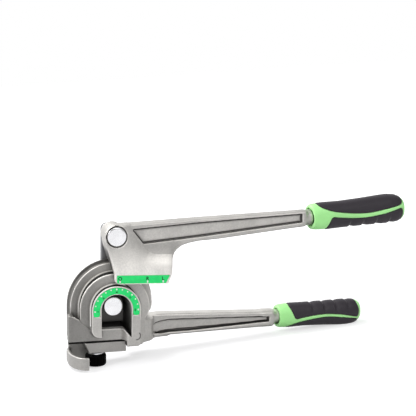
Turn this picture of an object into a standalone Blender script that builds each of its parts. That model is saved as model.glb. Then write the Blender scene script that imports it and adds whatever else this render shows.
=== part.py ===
"""Hand tube bender for three tube sizes, as separate solids.

Metres, +Z up. X runs along the lower handle, Y runs from the front face to the
back, and the world origin is the centre of the centre pin's front face. Depths
are measured along Y from the front face of the smallest bending drum.
"""

import math

import bmesh
import bpy
from mathutils import Matrix, Vector

# Clearances and small shared sizes
GAP = 0.0003
CUT_OVERRUN = 0.0020
JOIN_INSET = 0.0001
WELD = 0.000001
ROUND_STEPS = 32
ARC_STEPS = 26
CHANNEL_SIDES = 20
GRIP_SIDES = 18
SHARP_ANGLE = math.radians(30.0)
SPREAD_LIMIT = 0.4

# Tubes that the tool bends: drum rim, channel centre line, channel radius, channel depth
SMALL_RIM, MIDDLE_RIM, LARGE_RIM = 0.0220, 0.0312, 0.0395
SMALL_LINE, MIDDLE_LINE, LARGE_LINE = 0.0233, 0.0324, 0.0400
LARGE_RIM_RIGHT = 0.0363
SMALL_CHANNEL, MIDDLE_CHANNEL, LARGE_CHANNEL = 0.0033, 0.0041, 0.0049
LAND = 0.0016
SMALL_DEPTH = LAND + SMALL_CHANNEL
MIDDLE_FACE = LAND + 2.0 * SMALL_CHANNEL
MIDDLE_DEPTH = MIDDLE_FACE + LAND + MIDDLE_CHANNEL
LARGE_FACE = MIDDLE_FACE + LAND + 2.0 * MIDDLE_CHANNEL
LARGE_DEPTH = LARGE_FACE + LAND + LARGE_CHANNEL
DIE_BACK = LARGE_FACE + 2.0 * LAND + 2.0 * LARGE_CHANNEL

# Pocket, legs, foot and base of the bending die
POCKET_HALF = 0.0135
POCKET_BACK_HALF = 0.0105
POCKET_ARCH_Z = 0.0009
POCKET_BACK_Y = 0.0240
LEDGE_Z = -0.0200
BASE_Z = -0.0293
LEG_TIP_Z = -0.0245
LEG_ROUND = 0.0070
FOOT_Z = -0.0330
FOOT_LEFT = 0.0094
FOOT_SHOULDER_Z = -0.0238
FOOT_CHAMFER = 0.0035
FOOT_SKIRT_Z = -0.0347
FOOT_MIDDLE_Z = -0.0339
APRON_LEFT = 0.0425
APRON_TOP_Z = -0.0045
APRON_CREST_X = 0.0385
APRON_DIAGONAL = 0.0416
MIDDLE_SIDE_ANGLE = math.radians(23.0)
LARGE_SIDE_ANGLE = math.radians(17.5)

# Angle scale on the front face
SCALE_OUTER = 0.0209
SCALE_INNER = 0.0153
SCALE_END_Z = -0.0050
LABEL_THICKNESS = 0.0005
LABEL_FLUSH = 0.0001

# Lower handle bar: a tapered bar behind the die
BAR_FRONT = DIE_BACK + GAP
LOWER_BAR_DEPTH = 0.0137
LOWER_BAR_REACH = 0.1600
LOWER_BAR_ROOT_X = 0.0120
LOWER_BAR_ROOT_TOP = -0.0135
LOWER_BAR_ROOT_DROP = -0.0410
LOWER_BAR_TIP_TOP = -0.0182
LOWER_BAR_TIP_DROP = -0.0325
LOWER_BAR_NECK_X = 0.0370
RECESS_DEPTH = 0.0025
LOWER_RECESS_LEFT = 0.0435
LOWER_RECESS_RIGHT = 0.1560
LOWER_AXIS_Z = -0.0248

# Pins, bushes, washers and retaining rings
PIN_HEAD_RADIUS = 0.0085
PIN_HEAD_ROUND = 0.0006
PIN_SHANK_RADIUS = 0.0050
CENTER_PIN_FACE = 0.0160
CENTER_HEAD_THICKNESS = 0.0035
UPPER_PIN_FACE = 0.0018
UPPER_HEAD_THICKNESS = 0.0045
COUNTERBORE_RADIUS = 0.0096
BUSH_WALL = 0.0011
WASHER_RADIUS = 0.0080
WASHER_THICKNESS = 0.0012
RING_RADIUS = 0.0068
RING_THICKNESS = 0.0010
RING_GROOVE = 0.0009
RING_OPENING = 0.0056
PIN_END_SPARE = 0.0014

# Link between the two pins
LINK_LENGTH = 0.0667
UPPER_PIN_X = 0.0006
LINK_HALF_WIDTH = 0.0090
LINK_THICKNESS = 0.0057
LINK_TOP = 0.0078
LINK_CORNER = 0.0056

# Forming shoe and upper handle bar, measured from the upper pin along the channels
SHOE_TILT = math.radians(2.04)
SHOE_LENGTH = 0.0512
SHOE_FRONT = -0.0005
SHOE_LIP = 0.0010
SHOE_SIDE_GAP = 0.0008
SHOE_BACK = DIE_BACK - GAP
SHOE_HEEL = 0.0094
SHOE_STRIP_HEIGHT = 0.0083
BOSS_RADIUS = 0.0103
UPPER_BAR_FRONT = 0.0053
UPPER_BAR_BACK = 0.0200
UPPER_BAR_REACH = 0.1796
UPPER_BAR_TOP = 0.0233
UPPER_RECESS_DEPTH = 0.0028

# Ferrules and tangs that enter the grips
FERRULE_RADIUS = 0.0074
FERRULE_LENGTH = 0.0080
TANG_RADIUS = 0.0052
TANG_LENGTH = 0.0560

# Grips: a firm core with two soft pads
GRIP_LENGTH = 0.0987
GRIP_HEIGHT = 0.0142
GRIP_DEPTH_SHARE = 0.90
GRIP_CORE_INSET = 0.0030
LOWER_GRIP_SHARE = 0.91
UPPER_GRIP_SEAT = 0.0060
UPPER_GRIP_Z = 0.0164
UPPER_GRIP_DEPTH = 0.0123
UPPER_GRIP_RISE = math.radians(6.64)
LOWER_GRIP_SEAT = 0.0049
LOWER_GRIP_Z = -0.0242
LOWER_FINGER_RISE = 0.0018
PAD_REACH = 0.0200

# Sliding hook that holds the tube, with its stud and knob
HOOK_PLATE_TOP = -0.0308
HOOK_PLATE_DROP = -0.0409
HOOK_PLATE_FRONT = 0.0090
HOOK_PLATE_BACK = 0.0332
HOOK_PLATE_RIGHT = 0.0096
HOOK_PLATE_LEFT_TOP = -0.0278
HOOK_PLATE_LEFT_DROP = -0.0232
HOOK_ARM_TOP = -0.0412
HOOK_ARM_DROP = -0.0535
HOOK_ARM_WALL = 0.0026
HOOK_ARM_CENTRE_X = -0.0250
HOOK_ARM_CENTRE_Y = 0.0200
HOOK_ARM_SPAN_X = 0.0145
HOOK_ARM_SPAN_Y = 0.0243
HOOK_ROOT_FRONT = 0.0298
HOOK_ROOT_BACK = 0.0335
HOOK_ROOT_RIGHT = -0.0240
HOOK_TRAVEL = 0.0120
HOOK_ARM_SWEEP = math.radians(88.0)
HOOK_ARM_STEPS = 12
STUD_X = -0.0166
STUD_Y = 0.0160
STUD_RADIUS = 0.0030
STUD_SOCKET_Z = -0.0230
STUD_END_Z = -0.0480
SLOT_CLEARANCE = 0.0004
STUD_WASHER_RADIUS = 0.0072
STUD_WASHER_THICKNESS = 0.0011
KNOB_RADIUS = 0.0096
KNOB_DROP = -0.0533
KNOB_EDGE = 0.0012
INSERT_RADIUS = 0.0056
INSERT_LENGTH = 0.0060

# Outlines as shares of the sizes named beside them
# shares of the channel drop: top of the heel, right shoulder of the shoe
HEEL_TOP_SHARE = 0.11
SHOE_SHOULDER_SHARE = 0.37
# share of SHOE_HEEL where the heel meets the boss
HEEL_CREST_SHARE = 0.2
# shares of SHOE_LENGTH: right end of the lip, right end above the strip, top right of the strip
SHOE_LIP_SHARE = 0.895
SHOE_STRIP_SHARE = 0.975
STRIP_TOP_SHARE = 0.955
# inner root of the upper bar: share of SHOE_LENGTH, share of the channel drop
BAR_ROOT_SHARES = (0.9, -0.42)
# front surface of the shoe between strip and bar: share of the sweep's depth, share of its height
SWEEP_SHARES = ((0.0, 0.0), (0.0, 0.12), (0.10, 0.38), (0.30, 0.62), (0.60, 0.84), (1.0, 1.0))
# underside fillet of the upper bar: share of SHOE_LENGTH, share of the channel drop
FILLET_SHARES = ((1.86, -0.061), (1.50, -0.100), (1.25, -0.165), (1.10, -0.270), (1.03, -0.400))
# upper bar top edge: share of UPPER_BAR_REACH, share of UPPER_BAR_TOP
UPPER_TOP_SHARES = ((0.0, 0.415), (0.095, 0.475), (0.424, 0.681), (1.0, 1.0))
UPPER_TIP_DROP_SHARE = 0.386
# recess in the upper bar: share of UPPER_BAR_REACH, share of UPPER_BAR_TOP
UPPER_RECESS_SHARES = (
    (0.081, 0.257), (0.425, 0.524), (0.977, 0.864), (0.979, 0.598), (0.429, 0.033), (0.139, -0.278),
)
# recess in the lower bar: share of its length, share of its drop from top to bottom
LOWER_RECESS_SHARES = (
    (0.0, 0.70), (0.0, 0.46), (0.04, 0.335), (0.125, 0.235), (1.0, 0.36), (1.0, 0.50),
)
# grip stations: share of GRIP_LENGTH along, share of GRIP_HEIGHT above, share below
GRIP_STATION_SHARES = (
    (0.0, 0.72, 0.72), (0.025, 0.81, 0.81), (0.09, 0.86, 0.86), (0.16, 0.88, 0.90), (0.32, 0.88, 0.90),
    (0.56, 0.93, 0.93), (0.74, 0.99, 0.96), (0.82, 1.0, 0.96), (0.92, 0.87, 0.93), (0.965, 0.67, 0.81),
    (0.99, 0.42, 0.56), (1.0, 0.18, 0.28),
)
# edge of the palm pad: share of GRIP_LENGTH, share of GRIP_HEIGHT
PALM_SHARES = (
    (0.079, 0.95), (0.120, 0.74), (0.189, 0.49), (0.311, 0.28), (0.402, 0.18), (0.491, 0.08), (0.604, 0.07),
    (0.707, 0.14), (0.821, 0.24), (0.924, 0.35), (0.946, 0.56), (0.942, 0.85),
)
# edge of the ribbed finger pad: share of GRIP_LENGTH, share of GRIP_HEIGHT
FINGER_SHARES = (
    (0.148, -0.81), (0.179, -0.35), (0.216, 0.04), (0.321, -0.11), (0.481, -0.24), (0.604, -0.25),
    (0.759, -0.13), (0.924, 0.11), (0.944, -0.14), (0.945, -0.46), (0.928, -0.79),
)


def clear_scene():
    """Remove every object of the open scene."""
    for item in list(bpy.data.objects):
        bpy.data.objects.remove(item, do_unlink=True)


def look(name, colour, roughness, metallic):
    """Make a plain Principled material."""
    material = bpy.data.materials.new(name)
    material.use_nodes = True
    shader = material.node_tree.nodes["Principled BSDF"]
    shader.inputs["Base Color"].default_value = (*colour, 1.0)
    shader.inputs["Roughness"].default_value = roughness
    shader.inputs["Metallic"].default_value = metallic
    return material


def empty(name, parent, location, turn=0.0):
    """Place an empty, turned about Y."""
    item = bpy.data.objects.new(name, None)
    item.location = location
    item.rotation_euler = (0.0, turn, 0.0)
    item.parent = parent
    bpy.context.scene.collection.objects.link(item)
    return item


def place_mesh(name, bm, parent, material=None, smooth=False):
    """Turn a bmesh into an object with its faces pointing out."""
    bmesh.ops.recalc_face_normals(bm, faces=bm.faces[:])
    mesh = bpy.data.meshes.new(name)
    bm.to_mesh(mesh)
    bm.free()
    if smooth:
        mesh.shade_smooth()
        mesh.set_sharp_from_angle(angle=SHARP_ANGLE)
    item = bpy.data.objects.new(name, mesh)
    item.parent = parent
    bpy.context.scene.collection.objects.link(item)
    if material is not None:
        mesh.materials.append(material)
    else:
        item.hide_render = True
        item.display_type = "WIRE"
    return item


def spot(plane, first, second, level):
    """Give the 3D point of an outline point in a plane at a level."""
    if plane == "XZ":
        return (first, level, second)
    if plane == "XY":
        return (first, second, level)
    return (level, first, second)


def prism(name, outline, plane, low, high, parent, material=None):
    """Extrude an outline from one level to another, square to its plane."""
    bm = bmesh.new()
    face = bm.faces.new([bm.verts.new(spot(plane, a, b, low)) for a, b in outline])
    grown = bmesh.ops.extrude_face_region(bm, geom=[face])
    moved = [item for item in grown["geom"] if isinstance(item, bmesh.types.BMVert)]
    bmesh.ops.translate(bm, verts=moved, vec=spot(plane, 0.0, 0.0, high - low))
    return place_mesh(name, bm, parent, material)


def loft(name, rings, parent, material=None, smooth=False):
    """Skin a stack of rings with equal counts of points and close both ends."""
    bm = bmesh.new()
    stack = [[bm.verts.new(point) for point in ring] for ring in rings]
    count = len(stack[0])
    for near, far in zip(stack, stack[1:]):
        for index in range(count):
            after = (index + 1) % count
            bm.faces.new((near[index], near[after], far[after], far[index]))
    bm.faces.new(stack[0])
    bm.faces.new(stack[-1])
    return place_mesh(name, bm, parent, material, smooth)


def turned(name, profile, axis, centre, parent, material=None, hollow=False, steps=ROUND_STEPS):
    """Spin a profile of (radius, place along the axis) points about an axis."""
    bm = bmesh.new()
    verts = [bm.verts.new((radius, 0.0, along)) for radius, along in profile]
    edges = [bm.edges.new(pair) for pair in zip(verts, verts[1:])]
    if hollow:
        edges.append(bm.edges.new((verts[-1], verts[0])))
    bmesh.ops.spin(
        bm, geom=verts + edges, cent=(0.0, 0.0, 0.0), axis=(0.0, 0.0, 1.0), angle=math.tau, steps=steps,
        use_merge=True,
    )
    bmesh.ops.remove_doubles(bm, verts=bm.verts[:], dist=WELD)
    turns = {"X": Matrix.Rotation(math.pi / 2.0, 4, "Y"), "Y": Matrix.Rotation(-math.pi / 2.0, 4, "X")}
    matrix = Matrix.Translation(centre) @ turns.get(axis, Matrix.Identity(4))
    bmesh.ops.transform(bm, matrix=matrix, verts=bm.verts[:])
    return place_mesh(name, bm, parent, material, smooth=True)


def swept(name, path, radius, parent, sides=CHANNEL_SIDES):
    """Sweep a circle along a path that lies square to Y."""
    rings = []
    for index, point in enumerate(path):
        before = path[max(index - 1, 0)]
        after = path[min(index + 1, len(path) - 1)]
        tangent = (after - before).normalized()
        across = Vector((0.0, 1.0, 0.0))
        up = tangent.cross(across)
        angles = [math.tau * (step + 0.5) / sides for step in range(sides)]
        rings.append([point + radius * (math.cos(a) * across + math.sin(a) * up) for a in angles])
    return loft(name, rings, parent)


def arc(centre_x, centre_z, radius, start, end, steps):
    """List points along an arc, angles in degrees from +X towards +Z."""
    angles = [math.radians(start + (end - start) * step / steps) for step in range(steps + 1)]
    return [(centre_x + radius * math.cos(a), centre_z + radius * math.sin(a)) for a in angles]


def scaled(shares, first, second):
    """Scale a table of shares by two sizes."""
    return [(a * first, b * second) for a, b in shares]


def inset(outline, distance):
    """Move each edge of a closed outline inwards by a distance."""
    count = len(outline)
    area = sum(
        outline[i][0] * outline[(i + 1) % count][1] - outline[(i + 1) % count][0] * outline[i][1]
        for i in range(count)
    )
    side = 1.0 if area > 0.0 else -1.0
    moved = []
    for index in range(count):
        here = Vector(outline[index])
        before = (here - Vector(outline[index - 1])).normalized()
        after = (Vector(outline[(index + 1) % count]) - here).normalized()
        normal = Vector((-(before.y + after.y), before.x + after.x)).normalized() * side
        spread = max(math.sqrt(max((1.0 + before.dot(after)) / 2.0, 0.0)), SPREAD_LIMIT)
        moved.append(tuple(here + normal * (distance / spread)))
    return moved


def boolean(target, operand, operation):
    """Add a Boolean modifier with the exact solver."""
    modifier = target.modifiers.new(operand.name, "BOOLEAN")
    modifier.operation = operation
    modifier.solver = "EXACT"
    modifier.object = operand


def bore(name, radius, low, high, axis, centre, parent):
    """Make a round cutter between two levels."""
    profile = [(0.0, low), (radius, low), (radius, high), (0.0, high)]
    return turned(name, profile, axis, centre, parent)


def ring_profile(inner, outer, low, high):
    """Give the closed section of a plain ring."""
    return [(inner, low), (outer, low), (outer, high), (inner, high)]


def die_small_outline():
    """Outline of the front layer: smallest drum, two legs and the foot."""
    inner = POCKET_HALF + JOIN_INSET
    leg = arc(-SMALL_RIM + LEG_ROUND, LEG_TIP_Z + LEG_ROUND, LEG_ROUND, 270.0, 180.0, 5)
    rim = arc(0.0, 0.0, SMALL_RIM, 180.0, 0.0, ARC_STEPS)
    foot = [
        (SMALL_RIM, FOOT_Z + FOOT_CHAMFER), (SMALL_RIM - FOOT_CHAMFER, FOOT_Z), (FOOT_LEFT, FOOT_Z),
        (FOOT_LEFT, BASE_Z), (inner, FOOT_SHOULDER_Z),
    ]
    arch = arc(0.0, POCKET_ARCH_Z, inner, 0.0, 180.0, 16)
    return [(-inner, LEG_TIP_Z)] + leg + rim + foot + arch


def die_plate_outline():
    """Outline of the thin front land of the middle drum, with the apron at its left."""
    crest = (-APRON_CREST_X, APRON_CREST_X - APRON_DIAGONAL)
    meet = (-MIDDLE_RIM, MIDDLE_RIM - APRON_DIAGONAL)
    rim = arc(0.0, 0.0, MIDDLE_RIM, 180.0, -math.degrees(MIDDLE_SIDE_ANGLE), ARC_STEPS)
    side_x = rim[-1][0]
    side = [(side_x, FOOT_MIDDLE_Z + FOOT_CHAMFER), (side_x - FOOT_CHAMFER, FOOT_MIDDLE_Z)]
    return [
        (-APRON_LEFT, BASE_Z), (-APRON_LEFT, APRON_TOP_Z), (-APRON_CREST_X, APRON_TOP_Z), crest, meet,
    ] + rim + side + [(FOOT_LEFT + LAND, FOOT_MIDDLE_Z), (FOOT_LEFT + LAND, BASE_Z)]


def drum_outline(rim, rim_right, side_angle, base, drop, foot_left):
    """Outline of a drum layer, straight down at the left, drawn in at the right, ending in the foot."""
    curve = [
        (x * rim_right / rim if x > 0.0 else x, z)
        for x, z in arc(0.0, 0.0, rim, 180.0, -math.degrees(side_angle), ARC_STEPS)
    ]
    side_x = curve[-1][0]
    side = [(side_x, drop + FOOT_CHAMFER), (side_x - FOOT_CHAMFER, drop)]
    return [(-rim, base)] + curve + side + [(foot_left, drop), (foot_left, base)]


def groove_path(line, depth, start_z):
    """Centre line of a tube channel: up the left side, round the drum and down the right side."""
    points = [(-line, start_z)] + arc(0.0, 0.0, line, 180.0, 0.0, ARC_STEPS) + [(line, start_z)]
    return [Vector((x, depth, z)) for x, z in points]


def build_die(axes, material):
    """Bending die casting with the lower handle bar."""
    die = prism(
        "die_casting",
        drum_outline(LARGE_RIM, LARGE_RIM, LARGE_SIDE_ANGLE, BASE_Z, FOOT_SKIRT_Z, FOOT_LEFT + LAND),
        "XZ", LARGE_DEPTH, DIE_BACK, axes, material,
    )
    large = drum_outline(
        LARGE_RIM - JOIN_INSET, LARGE_RIM_RIGHT, LARGE_SIDE_ANGLE, BASE_Z + 2.0 * JOIN_INSET,
        FOOT_SKIRT_Z + JOIN_INSET, FOOT_LEFT + LAND + 2.0 * JOIN_INSET,
    )
    middle = drum_outline(
        MIDDLE_RIM - JOIN_INSET, MIDDLE_RIM - JOIN_INSET, MIDDLE_SIDE_ANGLE, BASE_Z + JOIN_INSET,
        FOOT_MIDDLE_Z + JOIN_INSET, FOOT_LEFT + LAND + JOIN_INSET,
    )
    layers = (
        ("large_drum", large, LARGE_FACE, LARGE_DEPTH + LAND),
        ("middle_drum", middle, MIDDLE_FACE + LAND / 2.0, LARGE_FACE + LAND),
        ("apron_plate", die_plate_outline(), MIDDLE_FACE, MIDDLE_FACE + LAND),
        ("small_drum", die_small_outline(), 0.0, MIDDLE_FACE + LAND / 2.0),
    )
    for name, outline, low, high in layers:
        boolean(die, prism(name, outline, "XZ", low, high, axes), "UNION")

    bar_back = BAR_FRONT + LOWER_BAR_DEPTH
    bar_axis_y = BAR_FRONT + LOWER_BAR_DEPTH / 2.0
    knee_x = LARGE_RIM + LAND
    bar = [
        (LOWER_BAR_ROOT_X, LOWER_BAR_ROOT_TOP), (LARGE_RIM, LOWER_BAR_ROOT_TOP),
        (LOWER_BAR_REACH, LOWER_BAR_TIP_TOP), (LOWER_BAR_REACH, LOWER_BAR_TIP_DROP),
        (knee_x, LOWER_BAR_ROOT_DROP + FOOT_CHAMFER), (LARGE_RIM - LAND, LOWER_BAR_ROOT_DROP + FOOT_CHAMFER),
        (LOWER_BAR_ROOT_X, FOOT_Z),
    ]
    boolean(die, prism("lower_bar", bar, "XZ", BAR_FRONT, bar_back, axes), "UNION")
    neck = [
        (LOWER_BAR_ROOT_X + LAND, LOWER_BAR_ROOT_TOP - LAND), (LOWER_BAR_NECK_X, LOWER_BAR_ROOT_TOP - LAND),
        (LOWER_BAR_NECK_X, FOOT_Z + LAND), (LOWER_BAR_ROOT_X + LAND, FOOT_Z + LAND),
    ]
    boolean(die, prism("lower_neck", neck, "XZ", DIE_BACK - LAND, BAR_FRONT + LAND, axes), "UNION")
    ferrule_axes = (LOWER_BAR_REACH, bar_axis_y, LOWER_AXIS_Z)
    boolean(die, tang("lower_tang", ferrule_axes, axes, LOWER_GRIP_SHARE), "UNION")

    widths = ((POCKET_HALF, MIDDLE_FACE - LAND), (POCKET_HALF, MIDDLE_FACE), (POCKET_BACK_HALF, POCKET_BACK_Y))
    rings = []
    for half, level in widths:
        outline = arc(0.0, POCKET_ARCH_Z, half, 0.0, 180.0, 16) + [(-half, LEDGE_Z), (half, LEDGE_Z)]
        rings.append([spot("XZ", a, b, level) for a, b in outline])
    boolean(die, loft("pocket_cutter", rings, axes), "DIFFERENCE")

    channels = (
        ("small_channel", SMALL_LINE, SMALL_DEPTH, SMALL_CHANNEL),
        ("middle_channel", MIDDLE_LINE, MIDDLE_DEPTH, MIDDLE_CHANNEL),
        ("large_channel", LARGE_LINE, LARGE_DEPTH, LARGE_CHANNEL),
    )
    channel_start = FOOT_SKIRT_Z - LARGE_CHANNEL
    for name, line, depth, radius in channels:
        cutter = swept(name, groove_path(line, depth, channel_start), radius, axes)
        boolean(die, cutter, "DIFFERENCE")

    hole = PIN_SHANK_RADIUS + GAP
    pin_bore = bore("pin_bore", hole, POCKET_BACK_Y - CUT_OVERRUN, DIE_BACK + CUT_OVERRUN, "Y", (0, 0, 0), axes)
    boolean(die, pin_bore, "DIFFERENCE")
    stud_hole = bore(
        "stud_socket", STUD_RADIUS + GAP, BASE_Z - CUT_OVERRUN, STUD_SOCKET_Z + GAP, "Z", (STUD_X, STUD_Y, 0.0),
        axes,
    )
    boolean(die, stud_hole, "DIFFERENCE")
    seat = prism(
        "scale_seat", scale_outline(GAP), "XZ", -CUT_OVERRUN, LABEL_FLUSH + LABEL_THICKNESS + GAP, axes,
    )
    boolean(die, seat, "DIFFERENCE")
    drop = LOWER_BAR_ROOT_TOP - LOWER_BAR_ROOT_DROP
    length = LOWER_RECESS_RIGHT - LOWER_RECESS_LEFT
    recess = [(LOWER_RECESS_LEFT + a * length, LOWER_BAR_ROOT_TOP - b * drop) for a, b in LOWER_RECESS_SHARES]
    front = prism("front_recess", recess, "XZ", BAR_FRONT - CUT_OVERRUN, BAR_FRONT + RECESS_DEPTH, axes)
    back = prism("back_recess", recess, "XZ", bar_back - RECESS_DEPTH, bar_back + CUT_OVERRUN, axes)
    boolean(die, front, "DIFFERENCE")
    boolean(die, back, "DIFFERENCE")
    return die


def tang(name, centre, parent, share, rise=0.0):
    """Round ferrule and tang that a grip slides over, along X from its seat."""
    radius = FERRULE_RADIUS * share
    root = -CUT_OVERRUN
    profile = [
        (0.0, root), (radius, root), (radius, FERRULE_LENGTH), (TANG_RADIUS * share, FERRULE_LENGTH),
        (TANG_RADIUS * share, FERRULE_LENGTH + TANG_LENGTH), (0.0, FERRULE_LENGTH + TANG_LENGTH),
    ]
    item = turned(name, profile, "X", (0.0, 0.0, 0.0), parent, steps=20)
    item.location = centre
    item.rotation_euler = (0.0, -rise, 0.0)
    return item


def scale_outline(spare):
    """Arc band of the angle scale, grown by a spare on each side."""
    outer, inner = SCALE_OUTER + spare, SCALE_INNER - spare
    end = SCALE_END_Z - spare
    outer_angle = math.degrees(math.asin(end / outer))
    inner_angle = math.degrees(math.asin(end / inner))
    return arc(0.0, 0.0, outer, outer_angle, 180.0 - outer_angle, ARC_STEPS) + arc(
        0.0, 0.0, inner, 180.0 - inner_angle, inner_angle, ARC_STEPS
    )


def build_pin(name, axes, material, face, head_thickness, carried_to):
    """Headed pin along Y with a groove for its retaining ring."""
    washer_back = carried_to + GAP + WASHER_THICKNESS
    groove_front = washer_back + GAP
    groove_back = groove_front + RING_THICKNESS + 2.0 * GAP
    end = groove_back + PIN_END_SPARE
    rounded = PIN_HEAD_RADIUS - PIN_HEAD_ROUND
    shank, neck = PIN_SHANK_RADIUS, PIN_SHANK_RADIUS - RING_GROOVE
    profile = [
        (0.0, face), (rounded, face), (PIN_HEAD_RADIUS, face + PIN_HEAD_ROUND),
        (PIN_HEAD_RADIUS, face + head_thickness), (shank, face + head_thickness), (shank, groove_front),
        (neck, groove_front), (neck, groove_back), (shank, groove_back), (shank, end), (0.0, end),
    ]
    return turned(name, profile, "Y", (0.0, 0.0, 0.0), axes, material)


def build_washer(name, axes, material, carried_to):
    """Flat washer behind the link."""
    front = carried_to + GAP
    inner = PIN_SHANK_RADIUS + GAP
    profile = ring_profile(inner, WASHER_RADIUS, front, front + WASHER_THICKNESS)
    return turned(name, profile, "Y", (0.0, 0.0, 0.0), axes, material, hollow=True)


def build_ring(name, axes, material, carried_to):
    """Open retaining ring in the pin's groove."""
    front = carried_to + WASHER_THICKNESS + 3.0 * GAP
    inner = PIN_SHANK_RADIUS - RING_GROOVE + GAP
    profile = ring_profile(inner, RING_RADIUS, front, front + RING_THICKNESS)
    ring = turned(name, profile, "Y", (0.0, 0.0, 0.0), axes, material, hollow=True)
    half = RING_OPENING / 2.0
    mouth = [(-half, 0.0), (half, 0.0), (half, -2.0 * RING_RADIUS), (-half, -2.0 * RING_RADIUS)]
    cutter = prism(name + "_mouth", mouth, "XZ", front - CUT_OVERRUN, front + CUT_OVERRUN, axes)
    boolean(ring, cutter, "DIFFERENCE")
    return ring


def build_bush(name, axes, material, front, back):
    """Plain sleeve on a pin."""
    inner = PIN_SHANK_RADIUS + GAP
    profile = ring_profile(inner, inner + BUSH_WALL, front, back)
    return turned(name, profile, "Y", (0.0, 0.0, 0.0), axes, material, hollow=True)


def build_link(axes, material):
    """Flat link that swings behind the die and carries the shoe."""
    low = arc(0.0, 0.0, LINK_HALF_WIDTH, 180.0, 360.0, 16)
    top_z = LINK_LENGTH + LINK_TOP
    corner_z = top_z - LINK_CORNER
    right = arc(UPPER_PIN_X + LINK_HALF_WIDTH - LINK_CORNER, corner_z, LINK_CORNER, 0.0, 90.0, 6)
    left = arc(UPPER_PIN_X - LINK_HALF_WIDTH + LINK_CORNER, corner_z, LINK_CORNER, 90.0, 180.0, 6)
    link = prism("link", low + right + left, "XZ", BAR_FRONT, BAR_FRONT + LINK_THICKNESS, axes, material)
    hole = PIN_SHANK_RADIUS + GAP
    reach = (BAR_FRONT - CUT_OVERRUN, BAR_FRONT + LINK_THICKNESS + CUT_OVERRUN)
    for name, place in (("link_low_bore", (0.0, 0.0, 0.0)), ("link_top_bore", (UPPER_PIN_X, 0.0, LINK_LENGTH))):
        boolean(link, bore(name, hole, *reach, "Y", place, axes), "DIFFERENCE")
    return link


def shoe_profile():
    """Section of the shoe square to its channels: stepped below, swept in front."""
    lip_small = SMALL_LINE + SHOE_LIP - LINK_LENGTH
    lip_middle = MIDDLE_LINE + SHOE_LIP - LINK_LENGTH
    lip_large = LARGE_LINE + SHOE_LIP - LINK_LENGTH
    strip_top = lip_small + SHOE_STRIP_HEIGHT
    sweep_top = -BOSS_RADIUS - LABEL_THICKNESS
    sweep_depth = UPPER_BAR_FRONT - SHOE_FRONT
    sweep = [
        (SHOE_FRONT + a * sweep_depth, strip_top + b * (sweep_top - strip_top)) for a, b in SWEEP_SHARES
    ]
    crown = -LAND
    return [
        (SHOE_FRONT, lip_small), (MIDDLE_FACE - SHOE_SIDE_GAP, lip_small),
        (MIDDLE_FACE - SHOE_SIDE_GAP, lip_middle), (LARGE_FACE - SHOE_SIDE_GAP, lip_middle),
        (LARGE_FACE - SHOE_SIDE_GAP, lip_large), (SHOE_BACK, lip_large), (SHOE_BACK, -BOSS_RADIUS + LAND),
        (UPPER_BAR_BACK - LAND, crown), (UPPER_BAR_FRONT + LAND, crown),
    ] + sweep[::-1]


def shoe_side_outline():
    """Front view of the shoe block, with its slanted heel and slanted right end."""
    drop = LINK_LENGTH - SMALL_LINE
    strip_top = SHOE_LIP - drop + SHOE_STRIP_HEIGHT
    low = -drop - SHOE_LIP
    tip_x = SHOE_LENGTH * SHOE_LIP_SHARE
    return [
        (-SHOE_HEEL, -HEEL_TOP_SHARE * drop), (-SHOE_HEEL * HEEL_CREST_SHARE, LAND), (SHOE_LENGTH, LAND),
        (SHOE_LENGTH, -drop * SHOE_SHOULDER_SHARE), (SHOE_LENGTH * SHOE_STRIP_SHARE, strip_top), (tip_x, low),
        (0.0, low), (0.0, strip_top),
    ]


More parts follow.
